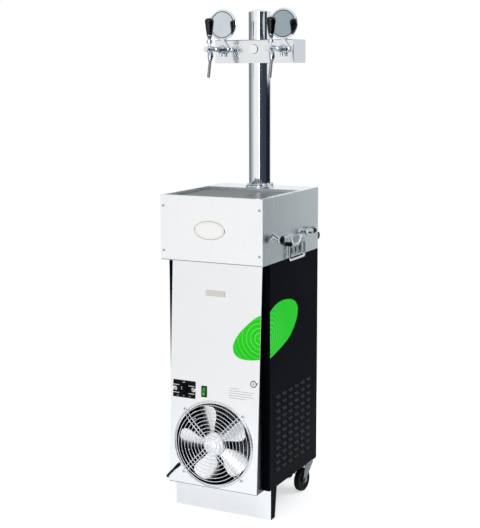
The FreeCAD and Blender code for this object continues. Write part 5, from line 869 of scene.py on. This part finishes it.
def dress_rocker():
    """The bar and the ring of an on-off switch."""
    rocker = cover_frame(SWITCH_X, CONTROLS_Z)
    tilt = Matrix.Rotation(math.radians(-12.0), 4, "X")
    on_half = rocker @ Matrix.Translation((0.0, 0.0076, 0.00301)) @ tilt
    off_half = rocker @ Matrix.Translation((0.0, -0.0066, 0.00448))
    film_piece("rocker_bar", rounded_box(0.0012, 0.0052, 0.0005, steps=3), ROCKER_FILM, PRINT_WHITE,
               "rocker", on_half)
    ring = flat_hoop((0.0052, 0.0052), (0.0034, 0.0034), 0.0, ROCKER_FILM)
    hoop_piece("rocker_ring", ring, PRINT_WHITE, "rocker", off_half, 32)


# The carry plates' rib as (across, height)
RIB_LINE = [(-0.037, 0.905), (-0.0265, 0.8892), (-0.015, 0.8825), (0.015, 0.8825), (0.0265, 0.8892),
            (0.037, 0.905)]


def dress_handles():
    """Painted shade films behind the carry plates' slots, ribs in a lighter zinc as a painted
    highlight, and a knob on each bail.
    """
    slot_pitch, slot_z, rib_radius = 0.030, 0.864, 0.0045
    knob_radius, knob_rings, knob_sides = 0.0075, 16, 40
    bail_x, bail_y, bail_z = 0.187, 0.0985, 0.8875

    # Dark films behind the slots: painted shade in their depth.
    def shade_films(bm):
        for across in (-slot_pitch, 0.0, slot_pitch):
            add_film(bm, rounded_box(0.0098, 0.0158, 0.0003, (across, 0.0), 2), FIELD_FILM)

    def rib(bm):
        add_tube(bm, flowing(RIB_LINE, 4), rib_radius)

    def knob(bm):
        rows = []
        for i in range(1, knob_rings):
            a = math.pi * i / knob_rings
            wide = 2 * knob_radius * math.sin(a)
            rows.append([bm.verts.new((x, y, knob_radius * math.cos(a)))
                         for x, y in oval(wide, wide, knob_sides)])
        add_capped(bm, rows)

    for side, facing, name in ((1, FACING_RIGHT, "right"), (-1, FACING_LEFT, "left")):
        flush = upright(side * (SIDE_FACE + 0.0001), HANDLE_Y, slot_z, facing)
        new_piece("slot_shade_films_" + name, shade_films, SLOT_DARK, "cooler", flush)
        raised = upright(side * (SIDE_FACE + 0.0035), HANDLE_Y, 0.0, facing)
        # The rib takes a lighter zinc than its plate: a painted highlight.
        new_piece("plate_rib_" + name, rib, ZINC_HIGHLIGHT, "cooler", raised)
        corner = upright(side * bail_x, bail_y, bail_z)
        new_piece("bail_knob_" + name, knob, BLACK_MOULD, name + "_bail", corner)


def dress_plates():
    """The badge's raised rim, pale field and fine line, and the label's field, all bare."""
    badge = upright(-0.004, HEAD_FRONT - 0.0012, BADGE_Z)
    rim_rise = 0.0009
    film_piece("badge_field", oval(0.1030, 0.0540), FIELD_FILM, PLATE_WHITE, "cooler",
               badge)
    line = flat_hoop((0.0960, 0.0470), (0.0948, 0.0458), 0.00018, 0.00032)
    hoop_piece("badge_line", line, PLATE_GOLD, "cooler", badge)
    rim = ((0.1088, 0.0598, 0.0), (0.107712, 0.058903, rim_rise), (0.1042, 0.0552, rim_rise),
           (0.1042, 0.0552, 0.0))
    hoop_piece("badge_rim", rim, PLATE_GOLD, "cooler", badge)
    film_piece("label_field", rounded_box(0.0660, 0.0156, 0.0012), FIELD_FILM, PLATE_CREAM, "cooler",
               cover_frame(-0.0023, LABEL_Z, 0.001))


def dress_print():
    """Plain ruled lines where small print stands under the lock."""
    left_end, top_line, line_pitch = -0.0465, 0.016, 0.0078

    def lines(bm):
        for row, width in enumerate((0.036, 0.090, 0.084, 0.088, 0.060)):
            middle = (left_end + width / 2, top_line - row * line_pitch)
            add_film(bm, rounded_box(width, 0.0012, 0.0005, middle, 2), FINE_FILM)

    new_piece("ruled_print", lines, PRINT_GREY, "cooler", cover_frame(0.0995, 0.4255))


# The front film's edge, a tilted half oval from its top to its foot on the cover's edge
FRONT_FILM_EDGE = [(0.0, 0.0745), (-0.0194, 0.0641), (-0.0427, 0.0440), (-0.0660, 0.0210),
                   (-0.0834, -0.0027), (-0.0931, -0.0235), (-0.0951, -0.0396), (-0.0892, -0.0562),
                   (-0.0737, -0.0677), (-0.0504, -0.0717), (-0.0272, -0.0708), (0.0, -0.0667)]

# The side film's edge as (depth, height), from its top to its foot at the panel's corner
SIDE_FILM_EDGE = [(0.054, 0.692), (0.090, 0.706), (0.140, 0.713), (0.204, 0.707), (0.245, 0.692),
                  (0.264, 0.672), (0.266, 0.658), (0.258, 0.634), (0.235, 0.608), (0.200, 0.583),
                  (0.150, 0.565), (0.090, 0.550), (0.054, 0.543)]


def dress_stickers():
    """A green film on the cover and on the right side panel, with rings on it."""
    middle_z = 0.609
    # The side film's ground is a lighter green than the front film's: painted light on the side panel.
    for name, edge, place, middle, low, high in (
            ("front", FRONT_FILM_EDGE, cover_frame(COVER_EDGE - 0.0008, middle_z), (0.0, 0.0, 0.0),
             (0.018, 0.68, 0.012), (0.034, 0.92, 0.02)),
            ("side", SIDE_FILM_EDGE, upright(SIDE_FACE, HEAD_FRONT, 0.0, FACING_RIGHT),
             (0.054, middle_z, 0.0), (0.014, 0.96, 0.022), (0.03, 1.0, 0.04))):
        green = sticker_green("decal_film_" + name, place @ Vector(middle), low, high)
        film_piece("decal_" + name, flowing(edge), STICKER_FILM, green, "cooler", place)


def dress_taps():
    """Dark seals round the lenses and the blanking disc, and flutes round the tap nuts."""
    lens_seal = seal_hoop(0.0423, 0.0018, 0.0006)
    for side, name in ((1, "right"), (-1, "left")):
        hoop_piece("lens_seal_" + name, lens_seal, SLOT_DARK, "cooler",
                   upright(side * TAP_X, LENS_FACE, LENS_Z))
        flutes = ring_tree("tap_nut_flutes_" + name, 10, 0.0131, (0.0030, 0.0036, 0.0066), TAP_CHROME)
        repeat_piece("nut_flutes_" + name, flutes, "cooler",
                     upright(side * TAP_X, TAP_NUT_Y, TAP_Z))
    hoop_piece("blank_seal", seal_hoop(0.0150, 0.0010, 0.0005), SLOT_DARK, "cooler",
               upright(0.0009, BAR_FACE, TAP_Z + 0.001))


def dress_rear():
    """Rivets along the rear panel's edges."""
    rear_face, rows_middle_z = 0.344, 0.474
    rivets = rivet_tree("rivet_rows", 2, 9, 0.336, 0.084, (0.0064, 0.0064, 0.0028), ZINC)
    repeat_piece("rear_rivets", rivets, "cooler", upright(0.0, rear_face, rows_middle_z))


dress_thermostat()
dress_front()
dress_rocker()
dress_handles()
dress_plates()
dress_print()
dress_stickers()
dress_taps()
dress_rear()


# Floor, light and world

# Extra strength of floor and studio where they are seen or mirrored
FLOOR_GLOW = 0.55
MIRROR_GLOW = 0.36


def make_floor():
    """A plain pale floor that keeps the shadow and runs out into the white background."""
    mesh = bpy.data.meshes.new("floor")
    bm = bmesh.new()
    bmesh.ops.create_circle(bm, cap_ends=True, segments=96, radius=1.5)
    bm.to_mesh(mesh)
    bm.free()
    floor = add_object("floor", mesh)
    shader = Shader("floor_pale", (0.86, 0.87, 0.88), 0.9, 0.0, Specular_IOR_Level=0.0)
    tree = shader.tree
    rays = add_node(tree, "ShaderNodeLightPath").outputs
    mirrored = math_node(tree, "MAXIMUM", rays["Is Glossy Ray"], rays["Is Transmission Ray"])
    mirrored = math_node(tree, "MULTIPLY", mirrored, MIRROR_GLOW)
    seen = math_node(tree, "MULTIPLY", rays["Is Camera Ray"], FLOOR_GLOW)
    glow = add_node(tree, "ShaderNodeEmission")
    tree.links.new(math_node(tree, "ADD", seen, mirrored), glow.inputs["Strength"])
    total = add_node(tree, "ShaderNodeAddShader")
    tree.links.new(shader.bsdf.outputs[0], total.inputs[0])
    tree.links.new(glow.outputs[0], total.inputs[1])
    tree.links.new(total.outputs[0], tree.nodes["Material Output"].inputs["Surface"])
    mesh.materials.append(shader.material)


# The studio round the cooler: compass angle in degrees from +X, then its tone, or its tone
# below the horizon and the one above it
STUDIO = (
    (-180, (0.20, 0.23, 0.26)), (-160, (0.42, 0.46, 0.49)), (-144, (0.62, 0.66, 0.69)),
    (-130, (0.84, 0.87, 0.90)), (-120, (0.99, 0.995, 1.0)), (-78, (1.0, 1.0, 1.0)),
    (-70, (0.10, 0.13, 0.18)), (-50, (0.045, 0.058, 0.086)), (0, (0.036, 0.046, 0.068)),
    (12, (0.012, 0.014, 0.016), (0.03, 0.035, 0.04)),
    (16, (0.012, 0.014, 0.016), (0.90, 0.92, 0.95)), (50, (0.014, 0.016, 0.018), (0.90, 0.92, 0.95)),
    (60, (0.03, 0.05, 0.055), (0.50, 0.56, 0.60)), (65.5, (0.20, 0.27, 0.29), (0.68, 0.72, 0.76)),
    (70, (0.88, 0.92, 0.94), (0.76, 0.80, 0.82)), (80, (0.86, 0.90, 0.92), (0.88, 0.91, 0.93)),
    (118, (0.90, 0.92, 0.94)), (130, (0.28, 0.32, 0.35)), (180, (0.20, 0.23, 0.26)))
BELOW_HORIZON, ABOVE_HORIZON = 0, -1

# Heights of a view direction between which one tone goes over into the next
DEEP_BLEND = (-0.55, -0.30)
HORIZON_BLEND = (-0.013, -0.004)
CEILING_BLEND = (0.30, 0.50)
DEEP_TONE = (0.12, 0.14, 0.18)
CEILING_TONE = (0.90, 0.92, 0.94)


def studio_ramp(tree, share, tone):
    """A colour ramp round the compass, from the studio's tones below or above the horizon."""
    ramp = add_node(tree, "ShaderNodeValToRGB")
    marks = ramp.color_ramp.elements
    for angle, *tones in STUDIO[1:-1]:
        marks.new(angle / 360 + 0.5).color = (*tones[tone], 1.0)
    marks[0].color = (*STUDIO[0][1], 1.0)
    marks[len(marks) - 1].color = (*STUDIO[-1][1], 1.0)
    tree.links.new(share, ramp.inputs["Fac"])
    return ramp.outputs["Color"]


def blend_up(tree, height, span, low, high):
    """Goes from a low colour to a high one as a view direction rises."""
    share = ranged(tree, height, *span, interpolation_type="SMOOTHSTEP")
    return colour_mix(tree, share, low, high)


def make_world():
    """A pale studio that darkens to one side, and plain white where the camera sees it."""
    world = bpy.data.worlds.new("studio")
    bpy.context.scene.world = world
    world.use_nodes = True
    tree = world.node_tree
    back = tree.nodes["Background"]
    coord = add_node(tree, "ShaderNodeTexCoord")
    way = add_node(tree, "ShaderNodeSeparateXYZ")
    tree.links.new(coord.outputs["Generated"], way.inputs[0])
    angle = math_node(tree, "ARCTAN2", way.outputs["Y"], way.outputs["X"])
    share = math_node(tree, "ADD", math_node(tree, "DIVIDE", angle, 2 * math.pi), 0.5)
    height = way.outputs["Z"]
    around = blend_up(tree, height, HORIZON_BLEND, studio_ramp(tree, share, BELOW_HORIZON),
                      studio_ramp(tree, share, ABOVE_HORIZON))
    grounded = blend_up(tree, height, DEEP_BLEND, DEEP_TONE, around)
    all_round = blend_up(tree, height, CEILING_BLEND, grounded, CEILING_TONE)
    rays = add_node(tree, "ShaderNodeLightPath").outputs
    plain = colour_mix(tree, rays["Is Camera Ray"], all_round, (1.0, 1.0, 1.0))
    tree.links.new(plain, back.inputs["Color"])
    seen = math_node(tree, "MAXIMUM", rays["Is Camera Ray"], rays["Is Glossy Ray"])
    seen = math_node(tree, "MAXIMUM", seen, rays["Is Transmission Ray"])
    strength = math_node(tree, "ADD", math_node(tree, "MULTIPLY", seen, MIRROR_GLOW), 1.0 - MIRROR_GLOW)
    tree.links.new(strength, back.inputs["Strength"])


def make_lamp(name, place, aim, wide, tall, power, mirrored=True, lighting=True):
    """A rectangular lamp that may be kept out of mirror images or give only a mirror image."""
    data = bpy.data.lights.new(name, "AREA")
    data.shape = "RECTANGLE"
    data.size = wide
    data.size_y = tall
    data.energy = power
    lamp = add_object(name, data)
    lamp.visible_glossy = mirrored
    lamp.visible_diffuse = lighting
    lamp.location = place
    way = Vector(aim) - Vector(place)
    lamp.rotation_mode = "QUATERNION"
    lamp.rotation_quaternion = way.to_track_quat("-Z", "Y")


make_floor()
make_world()
make_lamp("key_lamp", (-1.8, -3.4, 3.6), (0.0, 0.1, 0.8), 2.4, 2.4, 62.0, mirrored=False)
make_lamp("fill_lamp", (2.6, 1.8, 3.2), (0.0, 0.1, 0.9), 2.0, 2.0, 45.0, mirrored=False)
make_lamp("strip_lamp", (1.71, -4.70, 1.4), (0.0, 0.1, 1.3), 0.16, 2.4, 14.0)
make_lamp("box_lamp", (0.75, -4.95, 2.3), (0.0, 0.1, 1.5), 1.1, 1.6, 30.0, lighting=False)
bpy.context.scene.view_settings.view_transform = "Standard"
